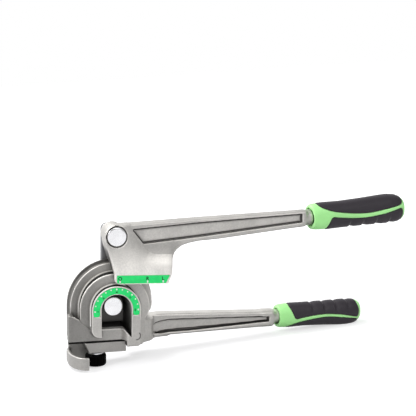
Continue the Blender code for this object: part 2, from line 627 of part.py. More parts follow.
def build_shoe_handle(axes, material):
    """Forming shoe, pin boss and upper handle bar in one casting."""
    drop = LINK_LENGTH - SMALL_LINE
    past_left, past_right = -2.0 * SHOE_HEEL, SHOE_LENGTH + SHOE_HEEL
    shoe = prism("shoe_handle", shoe_profile(), "YZ", past_left, past_right, axes, material)
    sides = prism("shoe_sides", shoe_side_outline(), "XZ", SHOE_FRONT - CUT_OVERRUN, SHOE_BACK + CUT_OVERRUN, axes)
    boolean(shoe, sides, "INTERSECT")
    round_boss = bore("pin_boss", BOSS_RADIUS, UPPER_BAR_FRONT, SHOE_BACK - JOIN_INSET, "Y", (0, 0, 0), axes)
    boolean(shoe, round_boss, "UNION")
    top = scaled(UPPER_TOP_SHARES, UPPER_BAR_REACH, UPPER_BAR_TOP)
    fillet = scaled(FILLET_SHARES, SHOE_LENGTH, drop)
    root = (SHOE_LENGTH * BAR_ROOT_SHARES[0], drop * BAR_ROOT_SHARES[1])
    bar = top + [(UPPER_BAR_REACH, UPPER_BAR_TOP * UPPER_TIP_DROP_SHARE)] + fillet + [
        root, (0.0, -BOSS_RADIUS + LAND),
    ]
    bar_solid = prism("upper_bar", bar, "XZ", UPPER_BAR_FRONT + JOIN_INSET, UPPER_BAR_BACK, axes)
    boolean(shoe, bar_solid, "UNION")
    tip_z = UPPER_BAR_TOP * (1.0 + UPPER_TIP_DROP_SHARE) / 2.0
    axis_y = (UPPER_BAR_FRONT + UPPER_BAR_BACK) / 2.0
    boolean(shoe, tang("upper_tang", (UPPER_BAR_REACH, axis_y, tip_z), axes, 1.0, UPPER_GRIP_RISE), "UNION")

    channels = (
        ("shoe_small_channel", SMALL_LINE, SMALL_DEPTH, SMALL_CHANNEL),
        ("shoe_middle_channel", MIDDLE_LINE, MIDDLE_DEPTH, MIDDLE_CHANNEL),
        ("shoe_large_channel", LARGE_LINE, LARGE_DEPTH, LARGE_CHANNEL),
    )
    for name, line, depth, radius in channels:
        place_z = line - LINK_LENGTH
        path = [Vector((past_left, depth, place_z)), Vector((past_right + SHOE_HEEL, depth, place_z))]
        boolean(shoe, swept(name, path, radius, axes), "DIFFERENCE")
    head_floor = UPPER_PIN_FACE + UPPER_HEAD_THICKNESS
    recess = bore("head_recess", COUNTERBORE_RADIUS, 0.0, head_floor + GAP, "Y", (0, 0, 0), axes)
    boolean(shoe, recess, "DIFFERENCE")
    hole = PIN_SHANK_RADIUS + BUSH_WALL + 2.0 * GAP
    shaft = bore("bush_bore", hole, head_floor, SHOE_BACK + CUT_OVERRUN, "Y", (0, 0, 0), axes)
    boolean(shoe, shaft, "DIFFERENCE")
    seat_back = SHOE_FRONT + LABEL_FLUSH + LABEL_THICKNESS + GAP
    seat = prism("strip_seat", strip_outline(GAP), "XZ", SHOE_FRONT - CUT_OVERRUN, seat_back, axes)
    boolean(shoe, seat, "DIFFERENCE")
    panel = scaled(UPPER_RECESS_SHARES, UPPER_BAR_REACH, UPPER_BAR_TOP)
    panel_cut = prism(
        "upper_recess", panel, "XZ", UPPER_BAR_FRONT - CUT_OVERRUN, UPPER_BAR_FRONT + UPPER_RECESS_DEPTH, axes,
    )
    boolean(shoe, panel_cut, "DIFFERENCE")
    return shoe


def strip_outline(spare):
    """Slanted strip of the shoe's marks, grown by a spare on each side."""
    low = SMALL_LINE + SHOE_LIP - LINK_LENGTH + LABEL_THICKNESS
    high = low + SHOE_STRIP_HEIGHT - 2.0 * LABEL_THICKNESS
    left = LABEL_THICKNESS * 2.0
    right_low = SHOE_LENGTH * SHOE_LIP_SHARE - left
    right_high = SHOE_LENGTH * STRIP_TOP_SHARE - left
    return [
        (left - spare, low - spare), (right_low + spare, low - spare), (right_high + spare, high + spare),
        (left - spare, high + spare),
    ]


def grip_rings(share, flip, shrink):
    """Rounded sections along a grip; flip turns it over, shrink draws the skin in."""
    rings = []
    for along, above, below in GRIP_STATION_SHARES:
        half_top = max(above * GRIP_HEIGHT * share - shrink, GRIP_CORE_INSET * share)
        half_low = max(below * GRIP_HEIGHT * share - shrink, GRIP_CORE_INSET * share)
        mean = (half_top + half_low) / 2.0
        half_depth = mean * GRIP_DEPTH_SHARE
        place = along * GRIP_LENGTH * share
        if shrink > 0.0:
            place = min(max(place, shrink), GRIP_LENGTH * share - shrink - along * shrink)
        ring = []
        for step in range(GRIP_SIDES):
            angle = math.tau * (step + 0.5) / GRIP_SIDES
            rise = math.sin(angle)
            height = half_top if rise > 0.0 else half_low
            ring.append((place, half_depth * math.cos(angle), flip * height * rise))
        rings.append(ring)
    return rings


def build_grip(prefix, axes, share, flip, finger_rise, core_look, pad_look):
    """Grip with a firm core, a smooth palm pad and a ribbed finger pad."""
    inset_depth = GRIP_CORE_INSET * share
    length = GRIP_LENGTH * share
    height = GRIP_HEIGHT * share * flip
    core = loft(prefix + "_grip_core", grip_rings(share, flip, 0.0), axes, core_look, smooth=True)
    inner = loft(prefix + "_grip_inner", grip_rings(share, flip, inset_depth), axes)
    inner_clear = loft(prefix + "_grip_inner_clear", grip_rings(share, flip, inset_depth - GAP), axes)
    reach = PAD_REACH * flip
    edges = (("_palm_pad", PALM_SHARES, reach, 0.0), ("_finger_pad", FINGER_SHARES, -reach, finger_rise * flip))
    for suffix, shares, far, rise in edges:
        edge = [(a, b + rise) for a, b in scaled(shares, length, height)]
        outline = [(edge[0][0], far)] + edge + [(edge[-1][0], far)]
        seat = prism(prefix + suffix + "_seat", outline, "XZ", -PAD_REACH, PAD_REACH, axes)
        boolean(seat, inner, "DIFFERENCE")
        boolean(core, seat, "DIFFERENCE")
        pad = loft(prefix + suffix, grip_rings(share, flip, 0.0), axes, pad_look, smooth=True)
        keep = prism(prefix + suffix + "_keep", inset(outline, GAP), "XZ", -PAD_REACH, PAD_REACH, axes)
        boolean(pad, keep, "INTERSECT")
        boolean(pad, inner_clear, "DIFFERENCE")
    return core


def cut_grip_bore(core, prefix, axes, share, place, rise):
    """Cup and bore of a grip, in line with the ferrule and tang that fill them."""
    cup = FERRULE_RADIUS * share + 2.0 * GAP
    hole = TANG_RADIUS * share + 2.0 * GAP
    end = FERRULE_LENGTH + TANG_LENGTH + 2.0 * GAP
    start = -2.0 * CUT_OVERRUN
    profile = [
        (0.0, start), (cup, start), (cup, FERRULE_LENGTH + 2.0 * GAP), (hole, FERRULE_LENGTH + 2.0 * GAP),
        (hole, end), (0.0, end),
    ]
    cutter = turned(prefix + "_grip_bore", profile, "X", (0.0, 0.0, 0.0), axes, steps=20)
    cutter.location = place
    cutter.rotation_euler = (0.0, -rise, 0.0)
    boolean(core, cutter, "DIFFERENCE")


def hook_arm_outline():
    """Plan of the hook's curved arm and of the root wall behind it."""
    outer = []
    inner = []
    for step in range(HOOK_ARM_STEPS + 1):
        angle = HOOK_ARM_SWEEP * step / HOOK_ARM_STEPS
        cosine, sine = math.cos(angle), math.sin(angle)
        outer.append((HOOK_ARM_CENTRE_X - HOOK_ARM_SPAN_X * cosine, HOOK_ARM_CENTRE_Y - HOOK_ARM_SPAN_Y * sine))
        span_x, span_y = HOOK_ARM_SPAN_X - HOOK_ARM_WALL, HOOK_ARM_SPAN_Y - HOOK_ARM_WALL
        inner.append((HOOK_ARM_CENTRE_X - span_x * cosine, HOOK_ARM_CENTRE_Y - span_y * sine))
    left = HOOK_ARM_CENTRE_X - HOOK_ARM_SPAN_X
    root_left = left + HOOK_ARM_WALL
    return (
        [(root_left, HOOK_ROOT_FRONT + LAND), (left, HOOK_ROOT_FRONT + LAND)] + outer + inner[::-1]
    )


def build_hook(axes, material):
    """Sliding plate with a curved arm that closes round the tube."""
    plate = [
        (HOOK_PLATE_LEFT_TOP, HOOK_PLATE_TOP), (HOOK_PLATE_RIGHT, HOOK_PLATE_TOP),
        (HOOK_PLATE_RIGHT, HOOK_PLATE_DROP), (HOOK_PLATE_LEFT_DROP, HOOK_PLATE_DROP),
    ]
    hook = prism("latch_hook", plate, "XZ", HOOK_PLATE_FRONT, HOOK_PLATE_BACK, axes, material)
    left = HOOK_ARM_CENTRE_X - HOOK_ARM_SPAN_X
    wall = [
        (left, HOOK_ROOT_FRONT), (HOOK_ROOT_RIGHT, HOOK_ROOT_FRONT), (HOOK_ROOT_RIGHT, HOOK_ROOT_BACK),
        (left, HOOK_ROOT_BACK),
    ]
    boolean(hook, prism("hook_root", wall, "XY", HOOK_ARM_DROP, HOOK_PLATE_TOP - GAP, axes), "UNION")
    arm = prism("hook_arm", hook_arm_outline(), "XY", HOOK_ARM_DROP + JOIN_INSET, HOOK_ARM_TOP, axes)
    boolean(hook, arm, "UNION")
    half = STUD_RADIUS + SLOT_CLEARANCE
    slot = arc(STUD_X, STUD_Y, half, 90.0, 270.0, 8) + arc(STUD_X + HOOK_TRAVEL, STUD_Y, half, -90.0, 90.0, 8)
    slot_cut = prism("hook_slot", slot, "XY", HOOK_PLATE_DROP - CUT_OVERRUN, HOOK_PLATE_TOP + CUT_OVERRUN, axes)
    boolean(hook, slot_cut, "DIFFERENCE")
    return hook


def build_knob(axes, knob_look, steel_look, brass_look):
    """Stud fixed in the base, its washer, and the knob with its threaded insert."""
    stud = [(0.0, STUD_END_Z), (STUD_RADIUS, STUD_END_Z), (STUD_RADIUS, STUD_SOCKET_Z), (0.0, STUD_SOCKET_Z)]
    turned("latch_stud", stud, "Z", (0.0, 0.0, 0.0), axes, steel_look, steps=20)
    inner = STUD_RADIUS + GAP
    washer_top = HOOK_PLATE_DROP - GAP
    washer_low = washer_top - STUD_WASHER_THICKNESS
    washer = ring_profile(inner, STUD_WASHER_RADIUS, washer_low, washer_top)
    turned("latch_washer", washer, "Z", (0.0, 0.0, 0.0), axes, steel_look, hollow=True)
    knob_top = washer_low - GAP
    insert_low = knob_top - INSERT_LENGTH
    hexagon = arc(0.0, 0.0, INSERT_RADIUS, 0.0, 300.0, 5)
    insert = prism("latch_insert", hexagon, "XY", insert_low, knob_top - GAP, axes, brass_look)
    thread = bore("insert_bore", inner, insert_low - CUT_OVERRUN, knob_top + CUT_OVERRUN, "Z", (0, 0, 0), axes)
    boolean(insert, thread, "DIFFERENCE")
    socket_low = STUD_END_Z - GAP
    edge = KNOB_RADIUS - KNOB_EDGE
    body = [
        (0.0, socket_low), (inner, socket_low), (inner, insert_low - GAP), (INSERT_RADIUS + GAP, insert_low - GAP),
        (INSERT_RADIUS + GAP, knob_top), (edge, knob_top), (KNOB_RADIUS, knob_top - KNOB_EDGE),
        (KNOB_RADIUS, KNOB_DROP + KNOB_EDGE), (edge, KNOB_DROP), (0.0, KNOB_DROP),
    ]
    turned("latch_knob", body, "Z", (0.0, 0.0, 0.0), axes, knob_look)


def build():
    """Build the whole tool."""
    clear_scene()
    cast = look("cast_aluminium", (0.55, 0.54, 0.52), 0.48, 0.9)
    plated = look("plated_steel", (0.86, 0.86, 0.87), 0.22, 1.0)
    steel = look("link_steel", (0.42, 0.42, 0.43), 0.40, 1.0)
    spring = look("spring_steel", (0.20, 0.20, 0.22), 0.42, 1.0)
    bronze = look("bush_bronze", (0.60, 0.42, 0.22), 0.40, 1.0)
    brass = look("insert_brass", (0.72, 0.56, 0.26), 0.35, 1.0)
    label = look("label_green", (0.03, 0.66, 0.16), 0.40, 0.0)
    core_green = look("grip_green", (0.20, 0.90, 0.15), 0.50, 0.0)
    rubber = look("pad_rubber", (0.045, 0.042, 0.048), 0.70, 0.0)
    black = look("knob_black", (0.012, 0.012, 0.012), 0.45, 0.0)

    tool = empty("tool_axes", None, (0.0, -CENTER_PIN_FACE, 0.0))
    handle = empty("handle_axes", tool, (UPPER_PIN_X, 0.0, LINK_LENGTH), SHOE_TILT)
    upper_mouth = (UPPER_BAR_REACH + UPPER_GRIP_SEAT, UPPER_GRIP_DEPTH, UPPER_GRIP_Z)
    upper_grip = empty("upper_grip_axes", handle, upper_mouth, -UPPER_GRIP_RISE)
    bar_axis_y = BAR_FRONT + LOWER_BAR_DEPTH / 2.0
    lower_mouth = (LOWER_BAR_REACH + LOWER_GRIP_SEAT, bar_axis_y, LOWER_GRIP_Z)
    lower_grip = empty("lower_grip_axes", tool, lower_mouth)
    stud_axes = empty("stud_axes", tool, (STUD_X, STUD_Y, 0.0))

    build_die(tool, cast)
    scale_back = LABEL_FLUSH + LABEL_THICKNESS
    prism("angle_scale", scale_outline(0.0), "XZ", LABEL_FLUSH, scale_back, tool, label)

    link_back = BAR_FRONT + LINK_THICKNESS
    build_pin("center_pin", tool, plated, CENTER_PIN_FACE, CENTER_HEAD_THICKNESS, link_back)
    head_back = CENTER_PIN_FACE + CENTER_HEAD_THICKNESS
    build_bush("center_bush", tool, bronze, head_back + GAP, POCKET_BACK_Y - GAP)
    build_washer("center_washer", tool, plated, link_back)
    build_ring("center_ring", tool, spring, link_back)
    build_link(tool, steel)

    build_pin("upper_pin", handle, plated, UPPER_PIN_FACE, UPPER_HEAD_THICKNESS, link_back)
    upper_head_back = UPPER_PIN_FACE + UPPER_HEAD_THICKNESS
    build_bush("upper_bush", handle, bronze, upper_head_back + 2.0 * GAP, SHOE_BACK)
    build_washer("upper_washer", handle, plated, link_back)
    build_ring("upper_ring", handle, spring, link_back)
    build_shoe_handle(handle, cast)
    strip_front = SHOE_FRONT + LABEL_FLUSH
    prism("shoe_scale", strip_outline(0.0), "XZ", strip_front, strip_front + LABEL_THICKNESS, handle, label)

    upper_core = build_grip("upper", upper_grip, 1.0, 1.0, 0.0, core_green, rubber)
    tip_z = UPPER_BAR_TOP * (1.0 + UPPER_TIP_DROP_SHARE) / 2.0
    upper_axis_y = (UPPER_BAR_FRONT + UPPER_BAR_BACK) / 2.0
    upper_seat = (UPPER_BAR_REACH, upper_axis_y, tip_z)
    cut_grip_bore(upper_core, "upper", handle, 1.0, upper_seat, UPPER_GRIP_RISE)
    lower_core = build_grip(
        "lower", lower_grip, LOWER_GRIP_SHARE, -1.0, LOWER_FINGER_RISE, core_green, rubber,
    )
    lower_seat = (LOWER_BAR_REACH, bar_axis_y, LOWER_AXIS_Z)
    cut_grip_bore(lower_core, "lower", tool, LOWER_GRIP_SHARE, lower_seat, 0.0)

    build_hook(tool, cast)
    build_knob(stud_axes, black, steel, brass)


build()
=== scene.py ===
"""Hand tube bender, dressed for a studio picture.

Sizes are in millimetres along the tool's own axes: X runs along the lower
handle, Y runs back from the front face of the smallest drum, Z is up, and the
link swings about the Y axis. The castings and grips are skins of distance
fields on a lattice; pins, washers and the knob are profiles carried round an axis.
Materials read object coordinates, in which Y starts at the centre pin's face.
"""

from __future__ import annotations

import functools
import logging
import math
from dataclasses import dataclass, field
from enum import Enum

import bmesh
import bpy
import numpy as np
from mathutils import Matrix

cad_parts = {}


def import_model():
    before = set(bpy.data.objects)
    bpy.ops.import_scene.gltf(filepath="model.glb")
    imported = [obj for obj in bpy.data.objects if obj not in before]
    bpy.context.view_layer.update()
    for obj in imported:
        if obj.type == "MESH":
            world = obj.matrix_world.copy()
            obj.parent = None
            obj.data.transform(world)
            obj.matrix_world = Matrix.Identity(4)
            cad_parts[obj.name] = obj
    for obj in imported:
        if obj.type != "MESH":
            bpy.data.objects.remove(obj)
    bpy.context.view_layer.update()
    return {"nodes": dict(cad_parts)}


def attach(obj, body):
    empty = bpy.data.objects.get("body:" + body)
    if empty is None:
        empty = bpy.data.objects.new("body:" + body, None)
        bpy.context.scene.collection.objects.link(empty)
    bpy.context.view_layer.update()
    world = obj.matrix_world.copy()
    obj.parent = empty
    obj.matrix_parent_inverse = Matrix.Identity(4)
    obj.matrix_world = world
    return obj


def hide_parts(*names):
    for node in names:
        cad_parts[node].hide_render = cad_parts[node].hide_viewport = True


LOG = logging.getLogger("tube_bender")
MM = 0.001
PIN_FACE_Y = 16.0
OPEN_HEIGHTS = (1.1, 2.4, 4.4)
SHARP_SKIN = 75.0
SHARP_TURNED = 40.0
TINY = 1e-9

Pair = tuple[float, float]
Triple = tuple[float, float, float]
Outline = tuple[Pair, ...]
Array = np.ndarray


class Body(Enum):
    """Moving bodies of the tool."""

    BASE = "base"
    LINK = "swing_link"
    HANDLE = "upper_handle"
    HOOK = "tube_hook"
    KNOB = "hook_knob"


class Slot(Enum):
    """Material slots of the record."""

    CAST = "cast"
    PLATED = "plated"
    STEEL = "steel"
    SPRING = "spring"
    BUSH = "bush"
    INSERT = "insert"
    LABEL = "label"
    GREEN = "green"
    RUBBER = "rubber"
    BLACK = "black"


class Axis(Enum):
    """Axis that a round piece is turned about, as the order of its coordinates."""

    Y = (1, 2, 0)
    Z = (0, 1, 2)


# Shapes


@dataclass
class Shell:
    """Points and faces of a surface, in millimetres.

    Attributes:
        points: Array of points, one row each.
        quads: Array of four-sided faces.
        caps: Faces with more sides.
    """

    points: Array
    quads: Array
    caps: list[Array] = field(default_factory=list)

    def moved(self, matrix: Array) -> Shell:
        """Give a copy carried by a 4x4 matrix: p' = M p."""
        return Shell(self.points @ matrix[:3, :3].T + matrix[:3, 3], self.quads, self.caps)

    def flipped(self) -> Shell:
        """Give a mirror copy in Z, with its faces turned round to point outwards."""
        return Shell(self.points * (1.0, 1.0, -1.0), self.quads[:, ::-1], [cap[::-1] for cap in self.caps])

    @staticmethod
    def joined(shells: list[Shell]) -> Shell:
        """Put several shells into one."""
        starts = np.cumsum([0] + [len(shell.points) for shell in shells])
        return Shell(
            np.concatenate([shell.points for shell in shells]),
            np.concatenate([shell.quads + start for shell, start in zip(shells, starts)]),
            [cap + start for shell, start in zip(shells, starts) for cap in shell.caps],
        )


def turn_y(degrees: float) -> Array:
    """Rotation about Y: x' = x cos a + z sin a, z' = -x sin a + z cos a."""
    angle = math.radians(degrees)
    matrix = np.eye(4)
    matrix[0, 0] = matrix[2, 2] = math.cos(angle)
    matrix[0, 2] = math.sin(angle)
    matrix[2, 0] = -math.sin(angle)
    return matrix


def shift(x: float, y: float, z: float) -> Array:
    """Translation matrix."""
    matrix = np.eye(4)
    matrix[:3, 3] = (x, y, z)
    return matrix


def arc_points(centre: Pair, radius: float, start: float, end: float, count: int = 49) -> Array:
    """Points of an arc: centre + radius (cos a, sin a), angles in degrees."""
    angles = np.radians(np.linspace(start, end, count))
    return np.stack([centre[0] + radius * np.cos(angles), centre[1] + radius * np.sin(angles)], axis=1)


def centred_box(x: float, z: float, width: float, height: float) -> Array:
    """Corners of an upright rectangle about a centre."""
    sides = ((-1, -1), (1, -1), (1, 1), (-1, 1))
    return np.array([(x + side * width / 2, z + rise * height / 2) for side, rise in sides])


def unit(rows: Array) -> tuple[Array, Array]:
    """Each row made one long, and its length before."""
    length = np.maximum(np.linalg.norm(rows, axis=1, keepdims=True), TINY)
    return rows / length, length


def soften(outline: Array, radius: float, closed: bool = True, steps: int = 6) -> Array:
    """Round the corners of an outline.

    Each corner B becomes the curve (1-t)^2 A + 2t(1-t) B + t^2 C, where A and C
    lie the radius away along its two edges, or half an edge where that is less.

    Args:
        outline: Rows of two coordinates.
        radius: Distance from a corner at which its curve starts.
        closed: Whether the last point joins the first.
        steps: Points on each curve.

    Returns:
        The rounded outline.
    """
    here = np.asarray(outline, float)
    (before, span_before), (after, span_after) = (unit(np.roll(here, turn, 0) - here) for turn in (1, -1))
    near = here + before * np.minimum(radius, span_before * 0.5)
    far = here + after * np.minimum(radius, span_after * 0.5)
    t = np.linspace(0.0, 1.0, steps)[None, :, None]
    curve = (1 - t) ** 2 * near[:, None] + 2 * t * (1 - t) * here[:, None] + t**2 * far[:, None]
    if closed:
        return curve.reshape(-1, 2)
    return np.concatenate([here[:1], curve[1:-1].reshape(-1, 2), here[-1:]])


def shrink(outline: Array, distance: float) -> Array:
    """Move the edges of a closed outline inwards: p' = p + n d / cos(half the turn).

    Args:
        outline: Rows of two coordinates.
        distance: How far inwards, or outwards where it is less than zero.

    Returns:
        The moved outline.
    """
    here = np.asarray(outline, float)
    after = np.roll(here, -1, 0)
    area = np.sum(here[:, 0] * after[:, 1] - after[:, 0] * here[:, 1])
    edge, _ = unit(after - here)
    mean, _ = unit(edge + np.roll(edge, 1, 0))
    normal = np.stack([-mean[:, 1], mean[:, 0]], axis=1) * np.sign(area)
    spread = np.maximum(np.sum(mean * edge, axis=1, keepdims=True), 0.45)
    return here + normal * distance / spread


def lathe(
    profile: Array, axis: Axis, centre: Triple, closed: bool = False, steps: int = 96, sweep: Pair = (0.0, 360.0)
) -> Shell:
    """Carry a profile of (radius, height) round an axis: p = (r cos a, r sin a, h).

    Args:
        profile: Rows of radius and height, up the outside.
        axis: Axis to turn about.
        centre: Point on the axis that heights start from.
        closed: Whether the profile is a closed loop, as for a ring.
        steps: Number of steps round the axis.
        sweep: First and last angle in degrees.

    Returns:
        The turned shell, with flat ends where it isn't a ring.
    """
    full = abs(sweep[1] - sweep[0]) >= 360.0
    angles = np.radians(np.linspace(*sweep, steps + 1))
    if full:
        angles = angles[:-1]
    radius, height = np.asarray(profile, float).T
    turns, count = len(angles), len(radius)
    rise = np.broadcast_to(height, (turns, count))
    local = np.stack([np.outer(np.cos(angles), radius), np.outer(np.sin(angles), radius), rise], axis=2)
    around, up = turns if full else turns - 1, count if closed else count - 1
    i, j = np.meshgrid(np.arange(around), np.arange(up), indexing="ij")
    i_next, j_next = (i + 1) % turns, (j + 1) % count
    quads = np.stack([i * count + j, i_next * count + j, i_next * count + j_next, i * count + j_next], axis=-1)
    caps = []
    if not closed:
        caps = [(np.arange(turns) * count)[::-1], np.arange(turns) * count + count - 1]
    elif not full:
        caps = [np.arange(count), (np.arange(count) + (turns - 1) * count)[::-1]]
    points = local.reshape(-1, 3)[:, list(axis.value)] + np.asarray(centre, float)
    return Shell(points, quads.reshape(-1, 4), caps)


def collar(inner: float, outer: float, low: float, high: float) -> Array:
    """Profile of a washer or ring with softened edges."""
    return soften(np.array([(inner, low), (outer, low), (outer, high), (inner, high)]), 0.25)


def plate(outline: Array, front: float, back: float, bevel: float) -> Shell:
    """Thin plate in the XZ plane: rings of its outline at the back, at the bevel and on the front.

    Args:
        outline: Rows of X and Z.
        front: Y of its front.
        back: Y of its back.
        bevel: Width of the bevel round its front.

    Returns:
        The closed plate.
    """
    rim = np.asarray(outline, float)
    levels = ((rim, back), (rim, front + bevel), (shrink(rim, bevel), front))
    points = np.concatenate([np.stack([ring[:, 0], np.full(len(ring), y), ring[:, 1]], axis=1) for ring, y in levels])
    count = len(rim)
    i, j = np.meshgrid(np.arange(2), np.arange(count), indexing="ij")
    j_next = (j + 1) % count
    quads = np.stack([i * count + j, i * count + j_next, (i + 1) * count + j_next, (i + 1) * count + j], axis=-1)
    return Shell(points, quads.reshape(-1, 4), [np.arange(count), np.arange(count)[::-1] + 2 * count])


def written(text: str, centre: Pair, height: float, level: float, turn: float = 0.0) -> Shell:
    """Flat figures in the XZ plane.

    Args:
        text: What is written.
        centre: X of the middle and Z of the foot of the figures.
        height: Size of the type.
        level: Y of the figures.
        turn: Turn in degrees, anticlockwise.

    Returns:
        A shell of the filled figures.
    """
    curve = bpy.data.curves.new("figures", "FONT")
    curve.body, curve.align_x, curve.resolution_u, curve.offset = text, "CENTER", 3, 0.03
    holder = bpy.data.objects.new("figures", curve)
    bpy.context.scene.collection.objects.link(holder)
    mesh = bpy.data.meshes.new_from_object(holder.evaluated_get(bpy.context.evaluated_depsgraph_get()))
    points = np.zeros(len(mesh.vertices) * 3)
    mesh.vertices.foreach_get("co", points)
    flat = points.reshape(-1, 3)[:, :2] * height
    angle = math.radians(turn)
    spun = flat @ np.array([[math.cos(angle), math.sin(angle)], [-math.sin(angle), math.cos(angle)]])
    placed = np.stack([spun[:, 0] + centre[0], np.full(len(flat), level), spun[:, 1] + centre[1]], axis=1)
    faces = [np.array(face.vertices[:])[::-1] for face in mesh.polygons]
    normal = sum(face.normal.z for face in mesh.polygons)
    bpy.data.objects.remove(holder)
    bpy.data.curves.remove(curve)
    bpy.data.meshes.remove(mesh)
    return Shell(placed, np.zeros((0, 4), int), [face[::-1] for face in faces] if normal > 0.0 else faces)


# Distance fields


def runs(*spans: Triple) -> Array:
    """Places along an axis, from spans of (start, stop, step) that follow each other."""
    parts = [np.linspace(a, b, max(int(round((b - a) / step)), 1) + 1)[:-1] for a, b, step in spans]
    return np.concatenate(parts + [np.array([spans[-1][1]])]).astype(np.float32)


def reach(u: Array, v: Array) -> Array:
    """Distance from an axis: sqrt(u^2 + v^2)."""
    return np.sqrt(u * u + v * v)


def outline_distance(u: Array, v: Array, outline: Array, corner: float = 0.0) -> Array:
    """Signed distance from a closed outline in a plane, less than zero inside.

    For each edge a-b the nearest point is a + t (b-a), with t = (p-a).(b-a)/|b-a|^2
    kept within 0 and 1; the sign is the parity of the edges crossed along +u.
    Corners are rounded as the distance from the outline shrunk by r, less r.

    Args:
        u: First coordinate of the samples.
        v: Second coordinate of the samples.
        outline: Rows of two coordinates.
        corner: Radius r of its corners.

    Returns:
        Distances in the samples' common shape.
    """
    grid_u, grid_v = np.broadcast_arrays(u, v)
    p_u, p_v = grid_u.reshape(1, -1).astype(np.float32), grid_v.reshape(1, -1).astype(np.float32)
    a = (shrink(outline, corner) if corner else np.asarray(outline)).astype(np.float32)
    b = np.roll(a, -1, 0)
    edge_u, edge_v = (b - a)[:, :1], (b - a)[:, 1:]
    off_u, off_v = p_u - a[:, :1], p_v - a[:, 1:]
    t = np.clip((off_u * edge_u + off_v * edge_v) / np.maximum(edge_u**2 + edge_v**2, TINY), 0.0, 1.0)
    nearest = np.min((off_u - t * edge_u) ** 2 + (off_v - t * edge_v) ** 2, axis=0)
    rise = np.where(np.abs(edge_v) < TINY, TINY, edge_v)
    spans = (a[:, 1:] > p_v) != (b[:, 1:] > p_v)
    crossed = np.sum(spans & (off_u < off_v * edge_u / rise), axis=0)
    signed = np.sqrt(nearest) * np.where(crossed % 2 == 1, -1.0, 1.0)
    return signed.reshape(grid_u.shape).astype(np.float32) - corner


def slab(w: Array, low: float, high: float) -> Array:
    """Distance from the space between two levels: |w - middle| - half."""
    return np.abs(w - (low + high) / 2.0) - (high - low) / 2.0


def common(*fields: Array) -> Array:
    """Distance from what all the fields share: their greatest."""
    return functools.reduce(np.maximum, fields)


def extruded(flat: Array, level: Array, radius: float) -> Array:
    """Join a flat distance and a slab with edges of a radius: min(max(a, b), 0) + |max((a, b), 0)| - r."""
    a, b = flat + radius, level + radius
    return np.minimum(np.maximum(a, b), 0.0) + reach(np.maximum(a, 0.0), np.maximum(b, 0.0)) - radius


def melt(a: Array, b: Array, width: float) -> Array:
    """Union with a fillet: min(a, b) - h^2 / 4w, with h = max(w - |a - b|, 0)."""
    return np.minimum(a, b) - np.maximum(width - np.abs(a - b), 0.0) ** 2 / (4.0 * width)


def carved(solid: Array, *cuts: tuple[Array, float]) -> Array:
    """Cut fields out in order, each with its own edge width: the negative of melt(-a, b)."""
    return functools.reduce(lambda left, cut: -melt(-left, *cut), cuts, solid)


